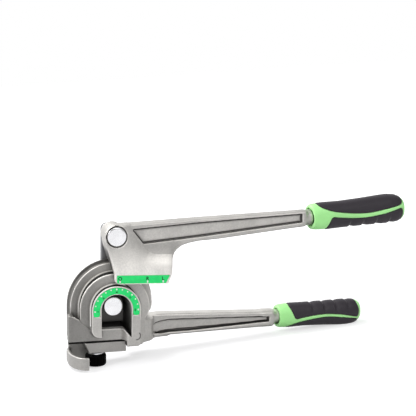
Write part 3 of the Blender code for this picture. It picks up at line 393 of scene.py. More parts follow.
@dataclass
class Lattice:
    """Rectilinear lattice of sample places in millimetres."""

    xs: Array
    ys: Array
    zs: Array

    @property
    def axes(self) -> tuple[Array, Array, Array]:
        """X, Y and Z of every sample, ready to combine with each other."""
        return self.xs[:, None, None], self.ys[None, :, None], self.zs[None, None, :]

    def prism(self, outline: Array, front: float, back: float, edge: float, corner: float = 0.0) -> Array:
        """Distance from an outline in XZ carried along Y.

        Args:
            outline: Rows of X and Z.
            front: Y of its front.
            back: Y of its back.
            edge: Radius of its edges.
            corner: Radius of the outline's corners.

        Returns:
            The distance field.
        """
        x, y, z = self.axes
        return extruded(outline_distance(x, z, outline, corner), slab(y, front, back), edge)

    def sampled(self, values: Array, points: Array) -> Array:
        """Read a field between its samples.

        It is the mean of the cell's corners by nearness, plus any way outside.

        Args:
            values: The field.
            points: Where it is read, one row each.

        Returns:
            The field at each point.
        """
        at, part, outside = [], [], np.zeros(len(points))
        for axis, along in enumerate((self.xs, self.ys, self.zs)):
            place = np.clip(points[:, axis], along[0], along[-1])
            outside += (points[:, axis] - place) ** 2
            low = np.clip(np.searchsorted(along, place) - 1, 0, len(along) - 2)
            at.append(low)
            part.append((place - along[low]) / (along[low + 1] - along[low]))
        total = np.sqrt(outside)
        for corner in np.ndindex(2, 2, 2):
            weight = np.prod([share if side else 1.0 - share for side, share in zip(corner, part)], axis=0)
            total += weight * values[at[0] + corner[0], at[1] + corner[1], at[2] + corner[2]]
        return total

    def openness(self, values: Array, points: Array) -> Array:
        """Work out how open a surface lies: the mean of field(p + n h) / h over three heights h.

        Args:
            values: The field.
            points: Points of its surface.

        Returns:
            A value for each point, from 0 in a crack to 1 on a plain face.
        """
        rises = [self.sampled(values, points + s) - self.sampled(values, points - s) for s in 0.5 * np.eye(3)]
        slope = np.stack(rises, axis=1)
        normal = slope / np.maximum(np.linalg.norm(slope, axis=1, keepdims=True), 1e-6)
        return np.mean([np.clip(self.sampled(values, points + normal * h) / h, 0.0, 1.0) for h in OPEN_HEIGHTS], axis=0)

    def skinned(self, values: Array) -> Shell:
        """Skin the zero level of a field.

        Each lattice cell that the level crosses gets one point, the mean of the
        places where the field is zero along the cell's twelve edges. Each lattice
        edge with a change of sign gets a face through its four cells' points.

        Args:
            values: The field, less than zero inside.

        Returns:
            A closed shell of four-sided faces.
        """
        inside = values < 0.0
        count = np.zeros(tuple(size - 1 for size in values.shape), np.int8)
        corners = np.array(list(np.ndindex(2, 2, 2)))
        for a, b, c in corners:
            count += inside[a : a + count.shape[0], b : b + count.shape[1], c : c + count.shape[2]]
        cells = np.argwhere((count > 0) & (count < len(corners)))
        index = np.full(count.shape, -1, np.int64)
        index[tuple(cells.T)] = np.arange(len(cells))
        at = cells[:, None, :] + corners[None, :, :]
        sample = values[at[..., 0], at[..., 1], at[..., 2]].astype(float)
        total, hits = np.zeros((len(cells), 3)), np.zeros((len(cells), 1))
        pairs = [(p, q) for p in range(8) for q in range(p + 1, 8) if np.sum(corners[q] != corners[p]) == 1]
        for first, second in pairs:
            near, far = sample[:, first], sample[:, second]
            crossed = ((near < 0.0) != (far < 0.0))[:, None]
            part = (near / np.where(near == far, 1.0, near - far))[:, None]
            total += np.where(crossed, corners[first] + part * (corners[second] - corners[first]), 0.0)
            hits += crossed
        part = total / hits
        places = []
        for axis, along in enumerate((self.xs, self.ys, self.zs)):
            start = along[cells[:, axis]]
            places.append(start + part[:, axis] * (along[cells[:, axis] + 1] - start))
        quads = [self.crossings(inside, index, axis) for axis in range(3)]
        return Shell(np.stack(places, axis=1), np.concatenate(quads))

    @staticmethod
    def crossings(inside: Array, index: Array, axis: int) -> Array:
        """Find the faces round the lattice edges along one axis that the level crosses.

        Args:
            inside: Whether each sample is inside.
            index: Number of each cell's point.
            axis: The axis, from 0 to 2.

        Returns:
            Rows of four point numbers, turned to face outwards.
        """
        first, second = (axis + 1) % 3, (axis + 2) % 3
        low = np.take(inside, range(inside.shape[axis] - 1), axis)
        high = np.take(inside, range(1, inside.shape[axis]), axis)
        edges = np.argwhere(low != high)
        for side in (first, second):
            edges = edges[(edges[:, side] > 0) & (edges[:, side] < inside.shape[side] - 1)]
        around = []
        for back_first, back_second in ((1, 1), (0, 1), (0, 0), (1, 0)):
            cell = edges.copy()
            cell[:, first] -= back_first
            cell[:, second] -= back_second
            around.append(index[tuple(cell.T)])
        face = np.stack(around, axis=1)
        return np.where(low[tuple(edges.T)][:, None], face, face[:, ::-1])


# Shader maths


class Wire:
    """A shader socket that can be used in Python arithmetic."""

    def __init__(self, graph: Graph, socket: bpy.types.NodeSocket) -> None:
        """Keep the graph and its socket."""
        self.graph = graph
        self.socket = socket

    def __add__(self, other: Wire | float) -> Wire:
        """Give self + other."""
        return self.graph.math("ADD", self, other)

    __radd__ = __add__

    def __mul__(self, other: Wire | float) -> Wire:
        """Give self * other."""
        return self.graph.math("MULTIPLY", self, other)

    __rmul__ = __mul__

    def __sub__(self, other: Wire | float) -> Wire:
        """Give self - other."""
        return self.graph.math("SUBTRACT", self, other)

    def __rsub__(self, other: float) -> Wire:
        """Give other - self."""
        return self.graph.math("SUBTRACT", other, self)

    def __truediv__(self, other: Wire | float) -> Wire:
        """Give self / other."""
        return self.graph.math("DIVIDE", self, other)


class Graph:
    """Node graph of one material or world."""

    def __init__(self, owner: bpy.types.Material | bpy.types.World) -> None:
        """Start with an empty tree."""
        owner.use_nodes = True
        self.tree = owner.node_tree
        self.tree.nodes.clear()

    def node(self, kind: str, settings: dict | None = None, values: dict | None = None) -> bpy.types.Node:
        """Add a node.

        Args:
            kind: Node type without its first part, "ShaderNode".
            settings: Attributes of the node, set first.
            values: Values or wires of its inputs, by name or number.

        Returns:
            The node.
        """
        made = self.tree.nodes.new(f"ShaderNode{kind}")
        for name, value in (settings or {}).items():
            setattr(made, name, value)
        for name, value in (values or {}).items():
            if isinstance(value, Wire):
                self.tree.links.new(value.socket, made.inputs[name])
            else:
                made.inputs[name].default_value = value
        return made

    def wire(self, node: bpy.types.Node, output: str | int = 0) -> Wire:
        """Wrap an output of a node."""
        return Wire(self, node.outputs[output])

    def split(self, vector: Wire) -> list[Wire]:
        """Give the three parts of a vector."""
        parts = self.node("SeparateXYZ", {}, {0: vector})
        return [self.wire(parts, axis) for axis in "XYZ"]

    def math(self, operation: str, *values: Wire | float, clamp: bool = False) -> Wire:
        """Add a Math node."""
        settings = {"operation": operation, "use_clamp": clamp}
        return self.wire(self.node("Math", settings, dict(enumerate(values))))

    def most(self, *values: Wire | float) -> Wire:
        """Give the greatest of several values."""
        return functools.reduce(lambda first, second: self.math("MAXIMUM", first, second), values)

    def reach(self, u: Wire, v: Wire) -> Wire:
        """Give sqrt(u^2 + v^2)."""
        return self.math("SQRT", u * u + v * v)

    def place(self) -> Wire:
        """Give the object coordinates."""
        return self.wire(self.node("TexCoord"), "Object")

    def millimetres(self) -> list[Wire]:
        """Give the object coordinates one by one, in millimetres."""
        return [part / MM for part in self.split(self.place())]

    def band(self, value: Wire, low: float, high: float) -> Wire:
        """Map a value from low-high to 0-1 with soft ends."""
        values = {"Value": value, "From Min": low, "From Max": high}
        return self.wire(self.node("MapRange", {"interpolation_type": "SMOOTHSTEP"}, values))

    def fall(self, value: Wire, low: float, high: float) -> Wire:
        """Map a value from low-high to 1-0 with soft ends."""
        return 1.0 - self.band(value, low, high)

    def within(self, value: Wire, low: float, high: float, soft: float = 0.4) -> Wire:
        """Give 1 between two levels and 0 outside them, over soft ends of a width."""
        return self.band(value, low - soft / 2, low + soft / 2) * self.fall(value, high - soft / 2, high + soft / 2)

    def faded(self, value: Wire, span: Pair, tones: Pair, share: Wire) -> Wire:
        """Give a factor that runs from one tone to another over a span, as far as a share from 0 to 1."""
        return (self.band(value, *span) * (tones[1] - tones[0]) + (tones[0] - 1.0)) * share + 1.0

    def stretched(self, scale: Triple) -> Wire:
        """Give the object coordinates through a Mapping node."""
        return self.wire(self.node("Mapping", {}, {"Vector": self.place(), "Scale": scale}))

    def noise(self, scale: float, detail: float = 3.0, vector: Wire | None = None) -> Wire:
        """Give a noise of a scale in waves for each metre."""
        values = {"Vector": vector or self.place(), "Scale": scale, "Detail": detail, "Roughness": 0.5}
        return self.wire(self.node("TexNoise", {}, values))

    def blend(self, factor: Wire | float, first: Wire | tuple, second: Wire | tuple) -> Wire:
        """Mix two colours."""
        return self.wire(self.node("Mix", {"data_type": "RGBA"}, {0: factor, 6: first, 7: second}), 2)

    def edges(self) -> Wire:
        """Give how sharply the surface turns outwards, from 0 to 1."""
        return self.band(self.wire(self.node("NewGeometry"), "Pointiness"), 0.505, 0.56)

    def shut(self, low: float, high: float) -> Wire:
        """Give how closed in the surface lies, from its stored openness: 0 on a plain face, 1 in a crack."""
        return self.fall(self.wire(self.node("Attribute", {"attribute_name": "open"}), "Fac"), low, high)

    def scaled(self, colour: Wire, gain: Wire) -> Wire:
        """Multiply a colour by a number."""
        return self.wire(self.node("VectorMath", {"operation": "SCALE"}, {0: colour, "Scale": gain}))

    def bump(self, height: Wire, distance: float, strength: float) -> Wire:
        """Give a normal bumped by a height."""
        return self.wire(self.node("Bump", {}, {"Height": height, "Distance": distance, "Strength": strength}))

    def seen(self) -> Wire:
        """Give 1 for rays from the camera and in reflections or glass, and 0 for those that light things."""
        path = self.node("LightPath")
        camera, glossy, through = (self.wire(path, f"Is {ray} Ray") for ray in ("Camera", "Glossy", "Transmission"))
        return self.math("MINIMUM", camera + glossy + through, 1.0)


def rgba(colour: Triple, gain: float = 1.0) -> tuple[float, float, float, float]:
    """Give a colour with full alpha, made lighter or darker."""
    return (*(min(part * gain, 1.0) for part in colour), 1.0)


# Finishes


@dataclass(frozen=True)
class Finish:
    """Name, record's slot, colour and roughness of a finish."""

    name: str
    slot: Slot
    colour: Triple
    rough: float

    def build(self) -> bpy.types.Material:
        """Make the material."""
        material = bpy.data.materials.new(self.name)
        g = Graph(material)
        shader = g.node("BsdfPrincipled", {}, self.sockets(g))
        g.node("OutputMaterial", {}, {"Surface": g.wire(shader)})
        return material

    def sockets(self, g: Graph) -> dict[str, Wire | float]:
        """Give what goes to the sockets of the shader."""
        raise NotImplementedError

    def mottled(self, g: Graph, cloud: Wire, span: Pair, gains: Pair) -> Wire:
        """Give the colour, from darker to lighter as a noise runs over a span."""
        return g.blend(g.band(cloud, *span), *(rgba(self.colour, gain) for gain in gains))


@dataclass(frozen=True)
class Marks:
    """What a place on a casting does to its tone, as shares from 0 to 1.

    Attributes:
        dark: Share of painted shade and shadow.
        bright: Share of painted highlight along an edge.
        calm: Share of plain face without painted edge highlights or painted crack shade.
    """

    dark: Wire
    bright: Wire | float = 0.0
    calm: Wire | float = 0.0


@dataclass(frozen=True)
class CastMetal(Finish):
    """Shot-blasted aluminium casting with painted highlights on its edges and painted shade in its cracks and on its
    undersides.

    Attributes:
        grain: Height of its blasted grain in metres.
        metallic: Share of metal in its gloss.
        shade: How much painted shade darkens its undersides.
    """

    slot: Slot = Slot.CAST
    colour: Triple = (0.53, 0.515, 0.49)
    rough: float = 0.44
    grain: float = 0.00007
    metallic: float = 0.72
    shade: float = 0.38

    def gains(self, g: Graph, level: Wire, under: Wire) -> list[Wire]:
        """Give the factors of painted light and shade that its tone is multiplied by.

        Args:
            g: Graph of the material.
            level: How far the surface faces up, from -1 to 1.
            under: Share of underside, from 0 to 1.

        Returns:
            The factors in order.
        """
        return [1.0 - under * self.shade]

    def marks(self, g: Graph) -> Marks:
        """Give what its places do to its tone."""
        raise NotImplementedError

    def painted(self, g: Graph, tone: Wire) -> Wire:
        """Give the tone with any painted shade or mark over it."""
        return tone

    def sockets(self, g: Graph) -> dict[str, Wire | float]:
        """Give what goes to the sockets of the shader: mottled grey, then painted light and shade by place and facing,
        then painted crack shade, painted edge highlights and the marks.
        """
        cloud, speck, grit = g.noise(60.0, 4.0), g.noise(700.0), g.noise(2600.0, 2.0)
        tone = self.mottled(g, cloud * 0.6 + speck * 0.4, (0.36, 0.64), (0.90, 1.08))
        level = g.split(g.wire(g.node("TexCoord"), "Normal"))[2]
        # Painted shade on faces that look down.
        under = g.band(level * -1.0, 0.1, 0.7)
        for gain in self.gains(g, level, under):
            tone = g.scaled(tone, gain)
        marks = self.marks(g)
        lively = 1.0 - marks.calm
        # Painted shade in cracks, from the stored openness, and painted highlight on outward edges, then the places'
        # painted shade and painted highlight.
        for share, gain in (
            (g.shut(0.30, 0.95) * 0.88 * lively, 0.13), (g.edges() * 0.75 * lively * (1.0 - under), 1.75),
            (marks.dark, 0.05), (marks.bright, 1.9),
        ):
            tone = g.blend(share, tone, rgba(self.colour, gain))
        rough = g.math("ADD", (cloud - 0.5) * 0.16 + (grit - 0.5) * 0.12, self.rough, clamp=True)
        return {
            "Base Color": self.painted(g, tone), "Metallic": self.metallic, "Roughness": rough,
            "Normal": g.bump(grit * 0.6 + speck * 0.5, self.grain, 0.9),
        }


@dataclass(frozen=True)
class HookMetal(CastMetal):
    """Casting metal of the hook, whose plate is dark on top, in the die's shade."""

    def marks(self, g: Graph) -> Marks:
        """Give the dark top of the plate, whose edge falls 5.9 towards the back."""
        _, y, z = g.millimetres()
        return Marks(g.band(z + g.band(y, -6.0, 12.0) * 5.9, -31.5, -31.2))


@dataclass(frozen=True)
class ShoeMetal(CastMetal):
    """Casting metal of the shoe and the upper bar.

    Attributes:
        painted_light_fade: Painted light, as the tone at the top and at the bottom of the hollow face.
        root: X and Z of the middle of the bar's root, which has painted shade, and its radius.
    """

    rough: float = 0.52
    painted_light_fade: Pair = (1.03, 1.72)
    root: Triple = (40.0, 66.0, 17.15)

    def gains(self, g: Graph, level: Wire, under: Wire) -> list[Wire]:
        """Give the painted light that grows down the hollow face, the painted shade on undersides and at the bar's
        root, and the lighter bar panel.
        """
        x, y, z = g.millimetres()
        # Painted light, lighter towards the bottom of the hollow face.
        painted_light_fade = g.faded(z, (62.0, 38.0), self.painted_light_fade, g.fall(x, 45.0, 57.0))
        away = g.reach(g.math("MINIMUM", x - self.root[0], 0.0), z - self.root[1])
        # Painted shade at the bar's root.
        root = g.fall(away, self.root[2] - 0.25, self.root[2] + 0.25) * g.fall(z, 57.0, 64.0) * g.fall(x, 54.0, 66.0)
        panel = g.within(y, -8.5, -7.3) * g.band(x, 24.0, 28.0)
        return [painted_light_fade, *super().gains(g, level, under), 1.0 - root * 0.22 + panel * 0.16]

    def marks(self, g: Graph) -> Marks:
        """Give painted shade on the left side behind the slanted front edge, whose face has no painted edge highlight.
        """
        x, y, z = g.millimetres()
        edge = x + z * 0.26 - 6.98
        side = g.fall(edge, 0.2, 1.0) * g.band(y, -12.5, -10.5) * g.fall(z, 50.0, 58.0)
        return Marks(side * 0.9, calm=g.fall(edge, 1.0, 2.0))


@dataclass(frozen=True)
class DieMetal(CastMetal):
    """Casting metal of the die and the lower bar.

    Attributes:
        painted_light_fade: Painted light and shade, as the tone at the left and at the right of the drums.
        rings: Stretch across, radius and front face of each line between two drums, which gets a painted highlight on
            its rim and painted shade inside it.
        mark: X of the round mark on the foot, its depth below the pin, and its radius.
        pocket: Half width of the pocket and the height of its arch's middle.
    """

    painted_light_fade: Pair = (0.48, 0.94)
    rings: tuple[Triple, ...] = ((1.02, 22.3, -7.65), (1.03, 32.2, 2.0))
    mark: Triple = (18.1, 24.5, 3.6)
    pocket: Pair = (13.5, 0.9)

    def gains(self, g: Graph, level: Wire, under: Wire) -> list[Wire]:
        """Give the painted light and shade that fades across the drums, and the painted shade on undersides with
        painted light on the top of the bar.
        """
        x, y, _ = g.millimetres()
        share = g.band(y, -14.8, -12.0) * g.fall(x, 26.0, 34.0)
        # Painted light on the bar's faces that look up.
        over = g.band(level, 0.3, 0.9) * g.band(x, 34.0, 40.0)
        return [g.faded(x, (-38.0, 14.0), self.painted_light_fade, share), super().gains(g, level, under)[0] + over * 0.4]

    def marks(self, g: Graph) -> Marks:
        """Give painted highlights and painted shade along the lines between the drums, the painted shadow of the shoe,
        painted shade on the foot's left side and on the flange, and the plain cheek, legs, ledge and base.
        """
        x, y, z = g.millimetres()
        high = g.most(z, 0.0)
        radial = g.reach(x, high)
        dark, bright = [], []
        clear = g.fall(x, 6.0, 12.0) * g.band(z + x * 0.64 + 30.3, 0.2, 1.0)
        # Painted highlight on each drum's rim and painted shade in the channel inside it.
        for stretch, rim, face in self.rings:
            ring = g.reach(x * stretch, high)
            bright.append(g.within(y, face - 0.6, face + 1.0) * g.within(ring, rim, rim + 1.3) * clear)
            dark.append(g.within(y, face - 6.0, face + 1.0, 1.0) * g.within(ring, rim - 2.2, rim, 0.3) * clear)
        # Painted shadow of the shoe, beside the smallest drum's rim.
        taper = radial + g.band(x, 8.0, 20.0) * 1.6
        painted_shoe_shadow = g.band(x, -3.0, 0.0) * g.band(z, 10.5, 12.5) * g.within(y, -14.8, -6.8)
        dark.append(painted_shoe_shadow * g.band(radial, 22.1, 22.4) * g.fall(taper, 24.0, 24.4))
        # Painted shade on the left side of the foot.
        dark.append(g.fall(z, -29.3, -28.9) * g.fall(x, 9.6, 9.9) * g.band(y, -15.6, -15.2))
        # Painted shade on the largest drum's flange, darker towards its top.
        flange = g.band(y, 7.5, 8.5) * g.fall(x, 10.0, 20.0) * g.band(radial, 38.6, 39.2)
        dark.append(flange * (g.band(z, 5.0, 36.0) * 0.45 + 0.3))
        cheek = g.fall(x, -40.5, -37.5) * g.fall(z, -1.0, 3.0)
        legs = g.band(x, 14.0, 15.0) * g.fall(z, -12.0, -6.0) * g.fall(x, 32.0, 36.0)
        ledge = g.within(x, -14.0, 13.0) * g.within(y, -8.4, -3.4) * g.within(z, -19.0, -17.3)
        base = g.fall(z, -28.6, -28.0) * g.fall(y, -7.0, -6.0)
        calm = g.most(cheek, legs * 0.85, g.most(ledge, base))
        return Marks(g.most(*dark) * 0.95, (bright[0] + bright[1]) * 0.8, calm)

    def painted(self, g: Graph, tone: Wire) -> Wire:
        """Give the tone with painted shade inside the pocket and the round mark over it."""
        # Painted shade inside the pocket.
        tone = g.blend(self.skin(g), tone, rgba(self.colour, 0.11))
        return g.blend(self.ring(g) * 0.85, tone, rgba(self.colour, 0.15))

    def ring(self, g: Graph) -> Wire:
        """Give the dark line of the round mark on the foot: | |p - c| - r | < 0.5 on its right side."""
        x, y, z = g.millimetres()
        across, height = x - self.mark[0], z + self.mark[1]
        line = g.fall(g.math("ABSOLUTE", g.reach(across, height) - self.mark[2]), 0.3, 0.75)
        return line * g.band(across - height * 0.45, 0.4, 1.8) * g.fall(y, -14.5, -13.5)

    def skin(self, g: Graph) -> Wire:
        """Give the painted shade inside the pocket: 1 within its walls, less towards its mouth.

        The walls lie half a pocket from the middle under an arch, and the painted
        shade ends 0.2 above the ledge, whose top rises 0.3 for each step back and
        falls away at 48 degrees to the right of 7.6.

        Args:
            g: Graph of the material.

        Returns:
            Share of painted shade, from 0 to 1.
        """
        x, y, z = g.millimetres()
        half, arch = self.pocket
        inside = g.fall(g.reach(x, g.most(z - arch, 0.0)), half, half + 0.3)
        drop = g.most(x - 7.6, 0.0) * 1.12
        rise = g.most(y + 7.8, 0.0) * 0.3
        above, hollow = g.band(z + drop - rise, -18.5, -18.2), g.band(y, -3.4, -3.0)
        back = g.band(y, 6.8, 7.6) * g.band(z, -16.6, -15.8)
        depth = g.band(y, -15.8, 4.0) * 0.35 + g.band(y, -15.9, -15.2) * 0.63 - back * 0.12
        return inside * g.most(above, hollow) * depth


@dataclass(frozen=True)
class PlatedMetal(Finish):
    """Bright plated or machined metal with fine turning lines."""

    def sockets(self, g: Graph) -> dict[str, Wire | float]:
        """Give what goes to the sockets of the shader: noise stretched along Y for the lines."""
        lines, cloud = g.noise(2400.0, 2.0, g.stretched((1.0, 0.05, 1.0))), g.noise(150.0)
        return {
            "Base Color": self.mottled(g, cloud, (0.35, 0.65), (0.94, 1.03)), "Metallic": 1.0,
            "Roughness": (cloud - 0.5) * 0.10 + (lines - 0.5) * 0.06 + self.rough,
            "Normal": g.bump(lines, 0.000012, 0.6),
        }


@dataclass(frozen=True)
class SoftPolymer(Finish):
    """Moulded rubber or plastic with a fine pebbled skin and painted highlights on its edges.

    Attributes:
        pebble: Pebbles for each metre.
        grain: Height of the pebbles in metres.
        sheen: Weight of its sheen.
        shine: Level of its gloss.
        warm: Gain of its lightest tone.
        painted_crack_shade: Whether its cracks get painted shade, from the stored openness.
    """

    pebble: float
    grain: float
    sheen: float = 0.0
    shine: float = 0.5
    warm: float = 1.12
    painted_crack_shade: bool = False

    def sockets(self, g: Graph) -> dict[str, Wire | float]:
        """Give what goes to the sockets of the shader."""
        cloud, skin, fine = g.noise(45.0), g.noise(self.pebble, 2.0), g.noise(self.pebble * 3.0, 2.0)
        tone = self.mottled(g, cloud, (0.3, 0.7), (0.90, self.warm))
        # Painted highlight on outward edges.
        tone = g.blend(g.edges() * 0.25, tone, rgba(self.colour, 1.6))
        # Painted shade in the cracks.
        if self.painted_crack_shade:
            tone = g.blend(g.shut(0.25, 0.85) * 0.9, tone, rgba(self.colour, 0.15))
        return {
            "Base Color": tone, "Roughness": (cloud - 0.5) * 0.12 + (fine - 0.5) * 0.10 + self.rough,
            "Sheen Weight": self.sheen, "Sheen Roughness": 0.4, "Specular IOR Level": self.shine,
            "Normal": g.bump(skin * 0.7 + fine * 0.3, self.grain, 0.8),
        }


@dataclass(frozen=True)
class Ink(Finish):
    """Printed label colour with a slightly uneven, satin surface."""

    slot: Slot = Slot.LABEL
    colour: Triple = (1.0, 1.0, 1.0)
    rough: float = 0.38

    def sockets(self, g: Graph) -> dict[str, Wire | float]:
        """Give what goes to the sockets of the shader."""
        cloud, fine = g.noise(220.0), g.noise(3000.0, 2.0)
        return {
            "Base Color": self.mottled(g, cloud, (0.3, 0.7), (0.95, 1.05)), "Specular IOR Level": 0.3,
            "Roughness": (fine - 0.5) * 0.10 + self.rough, "Normal": g.bump(fine, 0.00002, 0.5),
        }


CAST_DIE = DieMetal("cast_aluminium_die")
CAST_SHOE = ShoeMetal("cast_aluminium_shoe")
CAST_HOOK = HookMetal("cast_aluminium_hook", colour=(0.41, 0.398, 0.38))
PIN_PLATE = PlatedMetal("bright_plate", Slot.PLATED, (0.95, 0.95, 0.96), 0.24)
LINK_STEEL = PlatedMetal("satin_steel", Slot.STEEL, (0.25, 0.25, 0.26), 0.36)
DARK_STEEL = PlatedMetal("spring_steel", Slot.SPRING, (0.18, 0.18, 0.20), 0.38)
BRONZE = PlatedMetal("bush_bronze", Slot.BUSH, (0.60, 0.42, 0.22), 0.38)
BRASS = PlatedMetal("insert_brass", Slot.INSERT, (0.74, 0.58, 0.28), 0.30)
LABEL = Ink("label_green", colour=(0.024, 0.84, 0.20))
MARK_LIGHT = Ink("mark_white", colour=(0.85, 0.87, 0.85))
MARK_DARK = Ink("mark_dark", colour=(0.005, 0.035, 0.012))
GRIP_GREEN = SoftPolymer("grip_green", Slot.GREEN, (0.45, 1.0, 0.36), 0.46, 900.0, 0.00003, warm=1.0, painted_crack_shade=True)
PAD_RUBBER = SoftPolymer(
    "pad_rubber", Slot.RUBBER, (0.026, 0.021, 0.028), 0.56, 1500.0, 0.00006, sheen=0.10, shine=0.4, painted_crack_shade=True
)
KNOB_BLACK = SoftPolymer("knob_black", Slot.BLACK, (0.001, 0.001, 0.001), 0.4, 1200.0, 0.00002, shine=0.03)


# Pieces


class Bench:
    """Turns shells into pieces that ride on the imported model."""

    def __init__(self) -> None:
        """Start with no materials."""
        self.materials: dict[str, bpy.types.Material] = {}
        self.count = 0

    def material(self, finish: Finish) -> bpy.types.Material:
        """Give the material of a finish, made once."""
        if finish.name not in self.materials:
            self.materials[finish.name] = finish.build()
        return self.materials[finish.name]

    def skinned(
        self, name: str, g: Lattice, values: Array, matrix: Array, finish: Finish, body: Body, node: str,
        mirror: bool = False,
    ) -> None:
        """Skin a field, note how open its surface lies, and make the piece that stands for a node.

        Args:
            name: Name of the piece.
            g: Where the field is sampled.
            values: The field.
            matrix: Matrix from the field's axes to the tool's.
            finish: Its finish.
            body: Body that it rides on.
            node: CAD node that it stands for.
            mirror: Whether it is turned over in Z first.
        """
        shell = g.skinned(values)
        opened = g.openness(values, shell.points)
        shell = (shell.flipped() if mirror else shell).moved(matrix)
        self.add(name, shell, finish, body, node, sharp=SHARP_SKIN, opened=opened)

    def add(
        self, name: str, shell: Shell, finish: Finish, body: Body, node: str = "", recalculate: bool = False,
        sharp: float = SHARP_TURNED, opened: Array | None = None,
    ) -> None:
        """Make a piece.

        Args:
            name: Name of the piece.
            shell: Its surface in the tool's axes.
            finish: Its finish, whose material the piece takes.
            body: Body that it rides on.
            node: CAD node that it stands for, if any.
            recalculate: Whether its faces still have to be turned outwards.
            sharp: Angle in degrees above which an edge stays sharp.
            opened: Openness at each point, kept as the attribute "open".
        """
        points = (shell.points - (0.0, PIN_FACE_Y, 0.0)) * MM
        loops = np.concatenate([shell.quads.ravel(), *shell.caps]).astype(np.int32)
        sizes = np.array([4] * len(shell.quads) + [len(cap) for cap in shell.caps], np.int32)
        mesh = bpy.data.meshes.new(name)
        mesh.vertices.add(len(points))
        mesh.vertices.foreach_set("co", points.astype(np.float32).ravel())
        mesh.loops.add(len(loops))
        mesh.loops.foreach_set("vertex_index", loops)
        mesh.polygons.add(len(sizes))
        mesh.polygons.foreach_set("loop_start", np.concatenate([[0], np.cumsum(sizes)[:-1]]).astype(np.int32))
        mesh.update(calc_edges=True)
        mesh.validate()
        if recalculate:
            bm = bmesh.new()
            bm.from_mesh(mesh)
            bmesh.ops.recalc_face_normals(bm, faces=bm.faces[:])
            bm.to_mesh(mesh)
            bm.free()
        if opened is not None:
            mesh.attributes.new("open", "FLOAT", "POINT").data.foreach_set("value", opened.astype(np.float32))
        mesh.shade_smooth()
        mesh.set_sharp_from_angle(angle=math.radians(sharp))
        mesh.materials.append(self.material(finish))
        piece = bpy.data.objects.new(name, mesh)
        bpy.context.scene.collection.objects.link(piece)
        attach(piece, body.value)
        if node:
            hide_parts(node)
        self.count += 1
        LOG.info("%s: %d faces", name, len(sizes))


@dataclass
class Drums:
    """Sizes of the three bending drums, from the smallest to the largest.

    Attributes:
        rims: Radius of each drum's rim.
        lines: Radius of each tube's centre line.
        depths: Y of each tube's centre line.
        channels: Radius of each channel.
        faces: Y of each drum's front face.
        back: Y of the back of the stack.
    """

    rims: Triple = (22.3, 32.0, 40.3)
    lines: Triple = (23.3, 32.4, 40.0)
    depths: Triple = (4.9, 13.9, 24.5)
    channels: Triple = (3.3, 4.1, 4.9)
    faces: Triple = (0.0, 8.35, 18.0)
    back: float = 31.0


